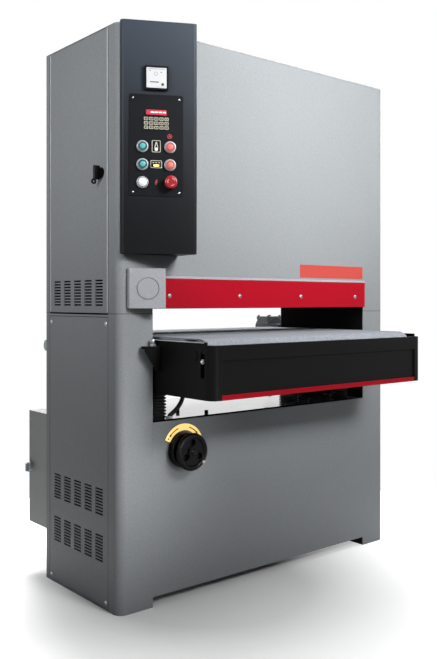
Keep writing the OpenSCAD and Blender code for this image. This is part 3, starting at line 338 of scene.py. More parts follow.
# %% Finishes and edges
FINISH = {
    SILVER: "left_column right_column front_apron rear_apron left_service_panel right_service_panel"
    " head_front_panel head_rear_panel head_top_cover right_head_cover left_door",
    PALE: "bar_end_housing",
    DECK: "base_deck",
    BOX_GREY: "electrical_box electrical_door dust_hood",
    WALL: "left_frame_plate right_frame_plate",
    BLACK: "cross_beams roller_blocks cantilever_beam tracking_yoke table_frame"
    " front_cover limit_bracket lift_gearbox",
    SATIN_PAINTED_REFLECTION: "control_box",
    OVERLAY: "control_plate ammeter",
    GLOSS: "door_latch handwheel",
    RED: "guard_bar front_trim",
    STEEL: "drum_bearings bed_plate lift_screws feed_drive_roller feed_idler_roller motor_pulley"
    " tension_roller",
    BEZEL: "button_bezels",
    CAST: "main_motor screw_jacks feed_motor",
    RUBBER: "contact_drum infeed_roller outfeed_roller drive_belt screw_bellows flexible_conduit",
    BELT: "conveyor_belt",
    GRIT: "sanding_belt",
    WHITE: "pilot_lamp",
    GREY: "air_regulator main_switch_knob",
    GREEN: "drum_start_button feed_start_button",
    SALMON: "drum_stop_button feed_stop_button",
    SIGNAL: "emergency_stop",
}
EDGE_RADIUS = {
    1.2: "left_column right_column front_apron head_front_panel head_top_cover left_door right_head_cover"
    " control_box bar_end_housing guard_bar front_cover electrical_box electrical_door limit_bracket",
    0.6: "left_service_panel right_service_panel control_plate ammeter front_trim table_frame door_latch"
    " main_switch_knob drum_start_button feed_start_button drum_stop_button feed_stop_button",
}
WELD_REACH = 0.00002
ROUND_FROM = math.radians(35)


def rounded(obj, width):
    """A live bevel of two steps, width in millimetres, on the edges that stand out."""
    bevel = obj.modifiers.new("edges", "BEVEL")
    bevel.width = width * MM
    bevel.segments = 2
    bevel.limit_method = "ANGLE"
    bevel.harden_normals = True
    return bevel


def soften(obj, width):
    """Weld the faces that the CAD mesh keeps apart, then round the edges."""
    custom = obj.data.attributes.get("custom_normal")
    if custom:
        obj.data.attributes.remove(custom)
    obj.data.polygons.foreach_set("use_smooth", np.ones(len(obj.data.polygons), bool))
    weld = obj.modifiers.new("weld", "WELD")
    weld.merge_threshold = WELD_REACH
    rounded(obj, width).angle_limit = ROUND_FROM


for material, names in FINISH.items():
    for name in names.split():
        nodes[name].data.materials.clear()
        nodes[name].data.materials.append(material)
for width, names in EDGE_RADIUS.items():
    for name in names.split():
        soften(nodes[name], width)
print("dressed:", sum(len(names.split()) for names in FINISH.values()), "nodes")

# %% [markdown]
# ## Shapes
# The small pieces are plates, turned caps and strips. Blender's primitives could make them, but each
# would keep a transform to apply. Here a shape is arrays instead: points in millimetres in its own frame
# (x right, y up, z outwards), and batches of faces, one face to a row.

# %% Grids, turned shapes and slabs
TIP = 0.01
CORNER_STEPS = 5


def grid_faces(rows, cols):
    """Four-sided faces between rows of points; the last column joins the first."""
    row = np.arange(rows - 1)[:, None]
    col = np.arange(cols)[None, :]
    beside = (col + 1) % cols
    corners = [row * cols + col, row * cols + beside, (row + 1) * cols + beside, (row + 1) * cols + col]
    return np.stack(corners, -1).reshape(-1, 4)


def turned(profile, segments=32):
    """A profile of (radius, height) turned round z: a point goes to (r cos a, r sin a, h) for each angle a.

    A profile from the axis gets a flat face at both ends, and any other closes on itself. Twice the
    profile's area, the sum of r * next h - next r * h, tells which way round its points run.
    """
    profile = np.array(profile, float)
    r, h = profile.T
    next_r, next_h = np.roll(profile, -1, axis=0).T
    if (r * next_h - next_r * h).sum() < 0:
        profile = profile[::-1]
    radius, height = profile.T[:, :, None]
    around = np.arange(segments)
    angle = around * 2 * math.pi / segments
    grid = np.broadcast_arrays(radius * np.cos(angle), radius * np.sin(angle), height)
    points = np.stack(grid, -1).reshape(-1, 3)
    if r.min() > TIP:
        return points, [grid_faces(len(profile) + 1, segments) % len(points)]
    ends = np.stack([around[::-1], around + len(points) - segments])
    return points, [grid_faces(len(profile), segments), ends]


def slab(outline, low, high):
    """A flat outline pushed from z low to z high: two rings of points with a face at each end."""
    outline = np.array(outline, float)
    count = len(outline)
    around = np.arange(count)
    points = np.concatenate([np.c_[outline, np.full(count, z)] for z in (low, high)])
    return points, [np.stack([around[::-1], around + count]), grid_faces(2, count)]


def polar(radius, degrees):
    """Points at a radius and an angle: (r cos a, r sin a)."""
    angle = np.radians(degrees)
    return np.c_[radius * np.cos(angle), radius * np.sin(angle)]


def box_outline(w, h, r=0.0):
    """A rectangle round the origin; with a radius, each corner is a quarter circle."""
    if not r:
        return np.array([[-w, -h], [w, -h], [w, h], [-w, h]]) / 2
    x, y = w / 2 - r, h / 2 - r
    corners = ((-90, x, -y), (0, x, y), (90, -x, y), (180, -x, -y))
    arcs = [polar(r, np.linspace(a, a + 90, CORNER_STEPS)) + [cx, cy] for a, cx, cy in corners]
    return np.concatenate(arcs)


def ring_outline(r0, r1, a0=0, a1=359.9, steps=33):
    """A flat ring from angle a0 to a1 in degrees: out along the outer arc, back along the inner one."""
    angle = np.linspace(a0, a1, steps)
    return np.concatenate([polar(r1, angle), polar(r0, angle)[::-1]])


HEX = polar(1, np.arange(6) * 60)
print("shapes: grid, turned, slab, outlines")

# %% [markdown]
# ## Pieces
# A place is a frame on the machine. A piece joins as many placed shapes as it needs into one mesh whose
# points are already where they belong, so its object stays at the origin. It can then ride on a body of
# the simulation and takes one of the finishes above.

# %% Places and pieces


def frame_at(origin, right, up):
    """A place: its axes right, up and outwards (right x up) as rows, and its origin."""
    right = np.array(right, float)
    up = np.array(up, float)
    return np.array([right, up, np.cross(right, up)]), np.array(origin, float)


def joined(parts):
    """Points and faces of (shape, place) pairs: a point p goes to p @ axes + origin."""
    points = [shape[0] @ axes + origin for shape, (axes, origin) in parts]
    starts = np.cumsum([0] + [len(p) for p in points])
    faces = [batch + start for (shape, _), start in zip(parts, starts) for batch in shape[1]]
    return np.concatenate(points), faces


def piece(name, parts, material, body=None, smooth=True, edge=0.0):
    """One mesh from (shape, place) pairs, with its edges rounded by edge millimetres."""
    points, batches = joined(parts)
    mesh = bpy.data.meshes.new(name)
    mesh.from_pydata((points * MM).tolist(), [], [face for batch in batches for face in batch.tolist()])
    mesh.polygons.foreach_set("use_smooth", np.full(len(mesh.polygons), smooth))
    mesh.materials.append(material)
    obj = bpy.data.objects.new(name, mesh)
    bpy.context.scene.collection.objects.link(obj)
    if edge:
        rounded(obj, edge)
    if body:
        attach(obj, body)
    return obj


def box_mm(node):
    """Low and high corner of a CAD node in millimetres."""
    low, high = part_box(node)
    return np.array(low) / MM, np.array(high) / MM


def middle_mm(node):
    """Centre of a CAD node's box in millimetres."""
    low, high = box_mm(node)
    return (low + high) / 2


HERE = frame_at((0, 0, 0), (1, 0, 0), (0, 1, 0))
(LEFT, FRONT, _), (RIGHT, REAR, TOP) = box_mm("head_top_cover")
SEAM_Z = box_mm("left_column")[1][2]
THROAT = box_mm("base_deck")[1][0]
DECK_Z = box_mm("front_apron")[1][2]


def on_front(x, z, y=FRONT):
    """A place that faces the operator, on the head's front unless y says otherwise."""
    return frame_at((x, y, z), (1, 0, 0), (0, 0, 1))


def on_left(y, z, x=LEFT):
    """A place that faces left, on the cabinet's left side unless x says otherwise."""
    return frame_at((x, y, z), (0, -1, 0), (0, 0, 1))


def on_right(y, z, x=RIGHT):
    """A place that faces right, on the cabinet's right side unless x says otherwise."""
    return frame_at((x, y, z), (0, 1, 0), (0, 0, 1))


def facing_up(x, y, z):
    """A place that faces upwards."""
    return frame_at((x, y, z), (1, 0, 0), (0, 1, 0))


print("planes: left", round(LEFT), "front", round(FRONT), "seam", round(SEAM_Z), "deck", round(DECK_Z))

# %% [markdown]
# ## Seams of the cabinet
# The head stands on the base, and doors and panels lie in the sides. Such joints are thinner than a pixel
# from a step away, but their shade shows. Cutting grooves into the sheets would change the CAD, so thin
# dark strips lie on them. The seam between head and base is a small section carried round each column's
# corner.

# %% Seam between head and base
CORNER = 28.0
SEAM_PROUD, SEAM_SUNK, SEAM_HALF = 0.2, -0.3, 0.9


def corner_path(side, proud):
    """Plan of a column's skin: along the front, a quarter circle round the corner, back along the side."""
    middle = [LEFT + CORNER, FRONT + CORNER]
    arc = polar(CORNER + proud, np.linspace(-90, -180, 10)) + middle
    path = np.concatenate([[[-THROAT, FRONT - proud]], arc, [[LEFT - proud, REAR]]])
    return path * [side, 1]


for side, label in ((1, "left"), (-1, "right")):
    outer = corner_path(side, SEAM_PROUD)
    inner = corner_path(side, SEAM_SUNK)
    low, high = SEAM_Z - SEAM_HALF, SEAM_Z + SEAM_HALF
    section = ((outer, low), (outer, high), (inner, high), (inner, low))
    points = np.stack([np.c_[path, np.full(len(path), z)] for path, z in section], 1).reshape(-1, 3)
    ends = np.array([[3, 2, 1, 0], np.arange(4) + len(points) - 4])
    faces = np.concatenate([grid_faces(len(outer), 4), ends])[:, ::side]
    piece(f"seam_{label}", [((points, [faces]), HERE)], SEAM, "cabinet", smooth=False)
print("head seam:", len(outer), "stations on each column")

# %% [markdown]
# ## Edges of doors and panels
# The left door and the lower panels are sheets in an opening. Each has a dark gap round it, and the door's
# folded edges catch the light. Gaps could be cut with a Boolean, which is slow and fragile on thin sheet,
# so they are dark strips a quarter of a millimetre proud. Two pale strips are a painted highlight where the
# folds catch the light, and they swing with the door.

# %% Edges of doors and panels
LINE_W, LINE_SUNK, LINE_PROUD = 1.8, -0.1, 0.25
LINE_ASIDE, LINE_BELOW = 0.6, 0.5
FOLD_W, FOLD_PROUD, FOLD_SHORT = 3.2, 0.3, 8
GAP_H, GAP_BELOW = 5, 1
door_low, door_high = box_mm("left_door")
panel_low, panel_high = box_mm("left_service_panel")
sheets = (
    (door_low[1], door_high[1] + 1.5, SEAM_Z + 1, TOP - 3),
    (panel_low[1], panel_high[1], panel_low[2], panel_high[2]),
)
for label, at in (("left", on_left), ("right", on_right)):
    lines = []
    for y0, y1, z0, z1 in sheets:
        upright = slab(box_outline(LINE_W, z1 - z0), LINE_SUNK, LINE_PROUD)
        level = slab(box_outline(y1 - y0, LINE_W), LINE_SUNK, LINE_PROUD)
        lines += [(upright, at(y, (z0 + z1) / 2)) for y in (y0 - LINE_ASIDE, y1 + LINE_ASIDE)]
        lines.append((level, at((y0 + y1) / 2, z1 - LINE_BELOW)))
    piece(f"panel_edges_{label}", lines, SEAM, "cabinet", smooth=False)

# Painted highlight: pale strips where the door's folds catch the light.
fold = slab(box_outline(FOLD_W, TOP - SEAM_Z - FOLD_SHORT), LINE_SUNK, FOLD_PROUD)
fold_y = (door_low[1] + 4, door_high[1] - 3)
door_fold_highlights = [(fold, on_left(y, (TOP + SEAM_Z) / 2)) for y in fold_y]
piece("door_edge_highlights", door_fold_highlights, EDGE_HIGHLIGHT, "left_door", smooth=False)
gap = slab(box_outline(door_high[1] - door_low[1], GAP_H), LINE_SUNK, LINE_PROUD)
gap_at = on_left((door_low[1] + door_high[1]) / 2, SEAM_Z - GAP_BELOW)
piece("door_gap", [(gap, gap_at)], SHADE_BLACK, "cabinet", smooth=False)
print("edges:", len(lines), "strips on each side, and", len(door_fold_highlights), "folds of the door")

# %% [markdown]
# ## Panel screws and louvres
# Four domed screws hold each lower panel. Each is a short profile turned round its axis, and one piece
# holds all four. Behind the banks of louvre slots hangs a black sheet, painted shade that keeps the slots
# dark without a modelled interior.

# %% Panel screws and slot shades
DOME = [(TIP, 3.0), (3.0, 2.8), (5.2, 2.0), (6.6, 0.9), (7.0, 0.0)]
SCREW_IN, SCREW_ABOVE, SCREW_BELOW = 12, 17, 20
screw_y = (panel_low[1] + SCREW_IN, panel_high[1] - SCREW_IN)
screw_z = (panel_low[2] + SCREW_ABOVE, panel_high[2] - SCREW_BELOW)
for label, at in (("left", on_left), ("right", on_right)):
    screws = [(turned(DOME, 20), at(y, z)) for y in screw_y for z in screw_z]
    piece(f"panel_screws_{label}", screws, CHROME, "cabinet")

COLUMNS, COLUMN_PITCH, COLUMN_GAP = 5, 67, 10
SLOT_PITCHES, SLOT_PITCH, SLOT_MARGIN = 9, 9.6, 8
HALF_BANK, SLOT_SHADE_T = 41, 2
LEFT_SLOT_SHADE, RIGHT_SLOT_SHADE = LEFT + 4.5, RIGHT - 6.5
# Painted shade: a black sheet behind each bank of slots stands for the dark inside.
slot_shade_outline = box_outline(COLUMNS * COLUMN_PITCH - COLUMN_GAP, SLOT_PITCHES * SLOT_PITCH + SLOT_MARGIN)
slot_shade_slab = slab(slot_shade_outline, 0, SLOT_SHADE_T)
bank_mid = (panel_low[1] + panel_high[1]) / 2
head_bank, low_bank, high_bank = SEAM_Z + 24, 143, 288
for label, x, body, foot in (
    ("left_door", LEFT_SLOT_SHADE, "left_door", head_bank),
    ("left_low", LEFT_SLOT_SHADE, "cabinet", low_bank),
    ("left_high", LEFT_SLOT_SHADE, "cabinet", high_bank),
    ("right_head", RIGHT_SLOT_SHADE, "cabinet", head_bank),
    ("right_low", RIGHT_SLOT_SHADE, "cabinet", low_bank),
    ("right_high", RIGHT_SLOT_SHADE, "cabinet", high_bank),
):
    slot_shade_at = on_right(bank_mid, foot + HALF_BANK, x)
    piece(f"slot_shade_{label}", [(slot_shade_slab, slot_shade_at)], SHADE_BLACK, body, smooth=False)
print("panel screws:", len(screws), "on each side, and six slot mats")

# %% [markdown]
# ## Control panel
# The controls sit on a slanted face at the operator's left. Every piece on it is placed by how far it
# lies across from the middle of the controls, how high it is, and how far it stands out, so the slant is
# worked out only once. The meter shows a plain scale. Its face could be a picture, but thin flat pieces
# stay sharp from any distance.

# %% Panel face and meter
FACE_ACROSS, FACE_FORWARD, FACE_START, CONTROLS_LEFT = 205, 108, 20, 14
TURN = math.atan2(FACE_FORWARD, FACE_ACROSS)
FACE = np.array([math.cos(TURN), -math.sin(TURN), 0])
FACE_OUT = np.array([-math.sin(TURN), -math.cos(TURN), 0])
FACE_MID = math.hypot(FACE_ACROSS, FACE_FORWARD) / 2 - CONTROLS_LEFT
PLATE_Z = middle_mm("control_plate")[2]
METER_Z = middle_mm("ammeter")[2]
DIAL_OUT, DIAL_T = 9.05, 0.35


def on_panel(across, z, out=0.0):
    """A place on the slanted face: from its left end along it, then outwards."""
    start = np.array([LEFT, FRONT - FACE_START, z])
    return frame_at(start + FACE * (FACE_MID + across) + FACE_OUT * out, FACE, (0, 0, 1))


def flat(name, outline, place, thick, material):
    """A thin flat piece on the cabinet."""
    return piece(name, [(slab(outline, 0, thick), place)], material, "cabinet", smooth=False)


def disc(radius):
    """A full ring with a pin hole."""
    return ring_outline(0.1, radius, 0, 360, 24)


flat("meter_dial", box_outline(61, 61, 1.5), on_panel(0, METER_Z, DIAL_OUT), DIAL_T, DIAL)
dial_marks = [
    (box_outline(27, 2.8), -6.5, -13),
    (disc(4.4), 18.5, -19.5),
    (box_outline(52, 0.9), 0, 26.5),
    (box_outline(3, 3), -20, 20.5),
    (box_outline(3, 3), 14, 16.5),
    (ring_outline(4.6, 5.4, steps=24), -2, 12),
]
marks = [(slab(mark, 0, 0.3), on_panel(s, METER_Z + z, DIAL_OUT + DIAL_T)) for mark, s, z in dial_marks]
piece("meter_marks", marks, SEAM, "cabinet", smooth=False)
print("meter with", len(marks), "marks; the face turns", round(math.degrees(TURN)), "degrees")

# %% [markdown]
# ## Display and keypad
# A small window shows four dashes in lit red, and fifteen keys lie under it. Each key is three thin
# layers, a pale cap, a dark core and a pale mark. A picture on one flat strip would blur in a close view,
# and the layers don't.

# %% Display and keypad
DISPLAY_Z, DISPLAY_OUT, DISPLAY_T = PLATE_Z + 99, 4.5, 0.4
KEYPAD_Z, KEY_OUT = PLATE_Z + 66, 4.2
KEY_ACROSS, KEY_UP = 15.5, 13
window_at = on_panel(0, DISPLAY_Z, DISPLAY_OUT)
flat("display_window", box_outline(62, 15, 2), window_at, DISPLAY_T, WINDOW)
dash = slab(box_outline(10, 3.4), 0, 0.4)
dashes = [(dash, on_panel(s, DISPLAY_Z, DISPLAY_OUT + DISPLAY_T)) for s in (-12, 0, 12, 24)]
piece("display_dashes", dashes, LED, "cabinet", smooth=False)

key_spots = [(i * KEY_ACROSS, KEYPAD_Z + j * KEY_UP) for i in range(-2, 3) for j in range(-1, 2)]
key_out = KEY_OUT
for name, outline, thick, material, slot, edge in (
    ("keypad_keys", box_outline(12.4, 9.6, 1.6), 0.5, CREAM, "meter_white", 0.3),
    ("keypad_cores", box_outline(8.6, 5.8, 1.0), 0.3, OVERLAY, "control_black", 0.0),
    ("keypad_marks", box_outline(3.4, 2.0, 0.5), 0.2, CREAM, "meter_white", 0.0),
):
    layer = slab(outline, 0, thick)
    keys = [(layer, on_panel(s, z, key_out)) for s, z in key_spots]
    piece(name, keys, material, "cabinet", smooth=False, edge=edge)
    key_out += thick
print("display with", len(dashes), "dashes,", len(key_spots), "keys")

# %% [markdown]
# ## Small plates and printed marks
# Two framed plates between the buttons carry an arrow and a bar, and a lamp and a power mark lie beside
# them. Print could be a mask in the overlay's material. As thin pieces one on top of the other the marks
# keep a clean edge, and each has its own colour.

# %% Small plates and printed marks
PLATE_OUT, RIM_T, CORE_T, PRINT_T = 2.0, 0.5, 0.3, 0.3
PRINT_OUT = PLATE_OUT + RIM_T + CORE_T
UPPER_PLATE_Z, LOWER_PLATE_Z = PLATE_Z - 3, PLATE_Z - 57
LAMP_S, LAMP_Z = 41, PLATE_Z + 28
STOP_Z = PLATE_Z - 113
ARROW = [(-6.5, -6), (-3.5, -6), (0, 9), (3.5, -6), (6.5, -6), (2, 13), (-2, 13)]
BOLT = [(-5, -1.5), (-1, -1.5), (-4, -11), (5, 1.5), (1, 1.5), (5, 10), (-1, 10)]
for label, w, h, z in (("upper", 27, 36, UPPER_PLATE_Z), ("lower", 35, 23, LOWER_PLATE_Z)):
    flat(f"plate_rim_{label}", box_outline(w, h, 3), on_panel(0, z, PLATE_OUT), RIM_T, CREAM)
    core_at = on_panel(0, z, PLATE_OUT + RIM_T)
    flat(f"plate_core_{label}", box_outline(w - 4, h - 4, 2), core_at, CORE_T, OVERLAY)
flat("plate_arrow", ARROW, on_panel(0, UPPER_PLATE_Z, PRINT_OUT), PRINT_T, CREAM)
flat("plate_spot", disc(5.0), on_panel(0, UPPER_PLATE_Z - 9, PRINT_OUT), PRINT_T, WHITE)
# The yellow bar glows with painted light, like the turn plate.
bar_at = on_panel(0, LOWER_PLATE_Z - 4, PRINT_OUT)
flat("plate_bar", box_outline(17, 5.5, 1), bar_at, PRINT_T, YELLOW_PAINTED_GLOW)
tick = slab(box_outline(5, 3), 0, PRINT_T)
ticks = [(tick, on_panel(s, LOWER_PLATE_Z + 4.5, PRINT_OUT)) for s in (-9, 0, 9)]
piece("plate_ticks", ticks, CREAM, "cabinet", smooth=False)

lamp_at = on_panel(LAMP_S, LAMP_Z, PLATE_OUT)
flat("lift_lamp", disc(3.6), lamp_at, 0.6, MARK_RED)
flat("lift_lamp_ring", ring_outline(5.4, 7.6), lamp_at, 0.6, MARK_RED)
flat("power_mark", np.array(BOLT) * 0.85, on_panel(0, STOP_Z, PLATE_OUT), 0.5, MARK_RED)
plate_screw = turned(np.array(DOME) * [0.46, 0.6], 16)
plate_screws = [(plate_screw, on_panel(s, PLATE_Z + z, PLATE_OUT)) for s in (-70, 70) for z in (-142, 141)]
piece("plate_screws", plate_screws, CHROME, "cabinet")
print("two small plates, lamp, mark and", len(plate_screws), "plate screws")

# %% [markdown]
# ## Button faces
# A push button has a paler face set in its collar, and the emergency stop has three arcs that show the
# way to twist it. They ride on their buttons, so they go in when a button is pressed. Painting them on
# would need a mask in each material, while a thin turned cap only needs its place.

# %% Button faces
BUTTON_S, UPPER_Z, LOWER_Z = 42, PLATE_Z - 5, PLATE_Z - 59
STOP_OUT, LENS_R, LENS_GAP, BEZEL_OUT = 31.0, 13.0, 1.5, 9.0
face = turned([(TIP, 14.5), (7.6, 14.5), (8.2, 14.2), (8.2, 13.8)])
for s, z, body, material, slot in (
    (-BUTTON_S, UPPER_Z, "drum_start_button", GREEN_FACE, "green_plastic"),
    (-BUTTON_S, LOWER_Z, "feed_start_button", GREEN_FACE, "green_plastic"),
    (BUTTON_S, UPPER_Z, "drum_stop_button", SALMON_FACE, "red_plastic"),
    (BUTTON_S, LOWER_Z, "feed_stop_button", SALMON_FACE, "red_plastic"),
):
    piece(f"{body}_face", [(face, on_panel(s, z))], material, body)
twist = [slab(ring_outline(9.5, 12.5, a, a + 62, 14), 0, 0.25) for a in (20, 140, 260)]
arcs = [(arc, on_panel(BUTTON_S, STOP_Z, STOP_OUT)) for arc in twist]
piece("stop_arcs", arcs, SALMON_FACE, "emergency_stop", smooth=False)
lens_at = on_panel(-BUTTON_S, STOP_Z, BEZEL_OUT)
flat("lens_gap", ring_outline(LENS_R, LENS_R + LENS_GAP), lens_at, 0.3, OVERLAY)
print("four button faces, stop arcs and the lamp's gap made")

# %% [markdown]
# ## Guard bar
# A red bar closes the front of the head over the table. Slotted screws hold it, a folded lip covers its
# top edge, and a plain badge lies above its right end. The housing at its left end has a disc with a
# groove round it. Three cylinders could make that, but one profile, turned on the housing's slanted face,
# has nothing to join.

# %% Guard bar, badge and housing disc
BAR_SCREW_Z = 970
LIP_H, LIP_OUT = 8, 9.5
BADGE_W, BADGE_H, BADGE_X, BADGE_Z = 346, 47, 324, 1063
bar_low, bar_high = box_mm("guard_bar")
bar_screw = turned([(TIP, 2.2), (4.5, 2.1), (6.6, 1.2), (7.2, 0)], 20)
# Painted shade: a dark strip on each screw's dome stands for its slot.
screw_slot_shade = slab(box_outline(11, 1.8), 1.7, 2.4)
bar_spots = [on_front(x, BAR_SCREW_Z, bar_low[1]) for x in (-442, -148, 146, 442)]
piece("bar_screws", [(bar_screw, at) for at in bar_spots], CHROME, "cabinet")
slots = [(screw_slot_shade, at) for at in bar_spots]
piece("bar_screw_slot_shades", slots, SEAM, "cabinet", smooth=False)
lip = slab(box_outline(bar_high[0] - bar_low[0], LIP_H), 0, LIP_OUT)
lip_at = on_front((bar_low[0] + bar_high[0]) / 2, bar_high[2] + LIP_H / 2)
piece("bar_lip", [(lip, lip_at)], PALE, "cabinet", edge=1.0)
flat("blank_badge", box_outline(BADGE_W, BADGE_H), on_front(BADGE_X, BADGE_Z), 0.4, ORANGE)

HOUSING_ACROSS, HOUSING_FORWARD = 96, 60
DISC_RIGHT, DISC_FORWARD, DISC_TOP = 76, 45, 0.9
housing_turn = math.atan2(HOUSING_FORWARD, HOUSING_ACROSS)
housing_face = (math.cos(housing_turn), -math.sin(housing_turn), 0)
housing_z = middle_mm("bar_end_housing")[2]
disc_at = frame_at((LEFT + DISC_RIGHT, FRONT - DISC_FORWARD, housing_z), housing_face, (0, 0, 1))
disc_plate = [(TIP, DISC_TOP), (30, DISC_TOP), (32.2, DISC_TOP), (32.4, 0.8)]
disc_groove = [(32.6, 0.1), (33.6, 0.1)]
disc_rim = [(33.8, 1.0), (34.8, 1.0), (35, 0.8), (35, -0.5)]
housing_disc = turned(disc_plate + disc_groove + disc_rim, 64)
piece("housing_disc", [(housing_disc, disc_at)], PALE, "cabinet")
disc_line = slab(ring_outline(31.6, 32.8, steps=65), DISC_TOP, DISC_TOP + 0.2)
piece("housing_ring", [(disc_line, disc_at)], SEAM, "cabinet", smooth=False)
print("guard bar dressed with", len(bar_spots), "screws; the housing's disc is 70 mm across")

# %% [markdown]
# ## Door latch
# The left door opens for a change of belt. Its latch has a collar on the door and a small key that hangs
# from the turning part, so the key rides on the latch and swings with it. It could be cut from one plate
# with Booleans. A straight stem and a ring that overlap in one mesh look the same and need none.

# %% Latch collar and key
LATCH_Y, LATCH_Z = -130, 1352.5
KEY_X, KEY_Y, KEY_Z, BOW_DROP = LEFT - 20, -118, 1341, 15
collar = turned([(17.5, 0), (17.5, 3), (16.5, 4.2), (13, 4.2), (13, 0)])
piece("latch_collar", [(collar, on_left(LATCH_Y, LATCH_Z))], GLOSS, "left_door")
key_stem = slab(box_outline(4, 22), -1, 1)
key_bow = slab(ring_outline(3, 9, steps=25), -1, 1)
bow_at = on_front(KEY_X, KEY_Z - BOW_DROP, KEY_Y)
latch_key = [(key_stem, on_front(KEY_X, KEY_Z, KEY_Y)), (key_bow, bow_at)]
piece("latch_key", latch_key, GLOSS, "door_latch", smooth=False)
print("latch collar and key made")

# %% [markdown]
# ## Handwheel
# The operator sets the table's height with a black wheel in front of a yellow plate with two arrows. The
# plate could be a picture on a square, but a ring segment with flat arrows needs no map. The arrows are
# arcs, each with a three-cornered head, and the right one runs the other way round.

# %% Turn plate
PLATE_RIGHT, PLATE_UP = 5, 2
PLATE_LOW, PLATE_T, ARROW_T = 0.1, 1.2, 0.3
RIVET_R = 71
wheel_low, _ = box_mm("handwheel")
wheel_x, _, wheel_z = middle_mm("handwheel")
plate_x, plate_z = wheel_x + PLATE_RIGHT, wheel_z + PLATE_UP
plate_at = on_front(plate_x, plate_z)
# The plate's glow is painted light that keeps it bright in the apron's shade.
plate_arc = slab(ring_outline(60, 81, 26, 154, 40), PLATE_LOW, PLATE_T)
piece("turn_plate", [(plate_arc, plate_at)], YELLOW_PAINTED_GLOW, "cabinet", smooth=False)
for label, tail, neck, tip, order in (("left", 108, 136, 144, 1), ("right", 72, 44, 36, -1)):
    shaft = ring_outline(69, 72.5, tail, neck, 16)
    head = polar(np.array([75.5, 70.7, 66]), [neck, tip, neck])
    for part, outline in (("shaft", shaft), ("head", head)):
        mark = [(slab(outline[::order], PLATE_T, PLATE_T + ARROW_T), plate_at)]
        piece(f"turn_arrow_{label}_{part}", mark, SEAM, "cabinet", smooth=False)
rivet = turned(np.array(DOME) * [0.45, 0.6], 16)
rivet_spots = [(plate_x + RIVET_R * c, plate_z + RIVET_R * s) for c, s in ((0.85, 0.53), (-0.85, 0.53))]
rivets = [(rivet, on_front(x, z, FRONT - PLATE_T)) for x, z in rivet_spots]
piece("turn_plate_rivets", rivets, CHROME, "cabinet")
print("turn plate with two arrows and", len(rivets), "rivets")

# %% [markdown]
# ## Wheel cap, flange, web and peg
# The wheel turns on a shaft that comes out of a round flange. A cap closes its hub, a web fills its rim,
# and a short steel peg stands on it. They could be cylinders with bevels. All are round, so each is one
# profile turned about its own axis. The flange stays on the cabinet, and the others turn with the wheel.

# %% Wheel cap, flange, web and peg
WEB_BEHIND = 16
PEG_RIGHT, PEG_DROP, PEG_BEHIND = 37, 34, 2
cap = turned([(TIP, 3.5), (6, 3.2), (9, 2.2), (10.5, 0), (10.5, -2)], 28)
piece("wheel_cap", [(cap, on_front(wheel_x, wheel_z, wheel_low[1]))], GLOSS, "handwheel")
flange = turned([(30, 24), (50, 24), (54, 22.5), (56, 19), (56, 0), (30, 0)], 48)
piece("wheel_flange", [(flange, on_front(wheel_x, wheel_z))], GLOSS, "cabinet")
web = turned([(TIP, 0), (40, 0), (47, 1.5), (47, -1), (TIP, -1)], 40)
web_at = on_front(wheel_x, wheel_z, wheel_low[1] + WEB_BEHIND)
piece("wheel_web", [(web, web_at)], GLOSS, "handwheel")
peg = turned([(TIP, 9), (4, 8.6), (5.5, 7), (5.5, 0)], 20)
peg_at = on_front(wheel_x + PEG_RIGHT, wheel_z - PEG_DROP, wheel_low[1] + PEG_BEHIND)
piece("wheel_peg", [(peg, peg_at)], STEEL, "handwheel")
print("wheel centre at", round(wheel_x), round(wheel_z))

# %% [markdown]
# ## Deck bolts and edge shade
# Hex bolts stand on the deck round the jacks, and a dark strip along the deck's front edge is painted
# shade, where the apron's folded top edge lies in shadow. A bolt with thread and washer would never show,
# so a bolt is a six-sided slab with rounded edges, copied to six places in one piece.

# %% Deck bolts and edge shade
DECK_BOLT_R, DECK_BOLT_H = 7, 13
DECK_SHADE_SHORT, DECK_SHADE_H, DECK_SHADE_T, DECK_SHADE_BEHIND = 4, 5, 2, 4
bolt_spots = [(-295, -85), (-250, -185), (-330, 120), (250, -185), (295, -85), (330, 120)]
deck_bolt = slab(HEX * DECK_BOLT_R, 0, DECK_BOLT_H)
deck_bolts = [(deck_bolt, facing_up(x, y, DECK_Z)) for x, y in bolt_spots]
piece("deck_bolts", deck_bolts, BLACK, "cabinet", smooth=False, edge=0.6)
# Painted shade: a black strip where the apron's top edge lies in shadow.
deck_edge_shade = slab(box_outline(2 * THROAT - DECK_SHADE_SHORT, DECK_SHADE_H), 0, DECK_SHADE_T)
deck_edge_shade_at = on_front(0, DECK_Z + DECK_SHADE_H / 2, FRONT + DECK_SHADE_BEHIND)
piece("deck_edge_shade", [(deck_edge_shade, deck_edge_shade_at)], SHADE_BLACK, "cabinet", smooth=False)
print("deck bolts:", len(bolt_spots))

# %% [markdown]
# ## Table rails, slot and idler caps
# Bright rails edge the table beside its belt; their brightness is partly a painted highlight of the frame's
# top edges. A slot with a nut sets the belt's tension, and round caps close the bearings of the idler. The
# slot's depth could be cut out of the frame. A black back behind the nut, painted shade, gives the same
# look, and all of them ride on the table.

# %% Table rails, slot and idler caps
RAIL_SHORT, RAIL_W, RAIL_T, RAIL_DROP = 20, 3.2, 0.5, 1.8
SLOT_W, SLOT_SHORT, SLOT_ASIDE = 22, 70, 16
SHADE_IN, NUT_IN, NUT_Z = 9, 5, 778
frame_low, frame_high = box_mm("table_frame")
_, frame_y, frame_z = middle_mm("table_frame")
rail_length = frame_high[1] - frame_low[1] - RAIL_SHORT
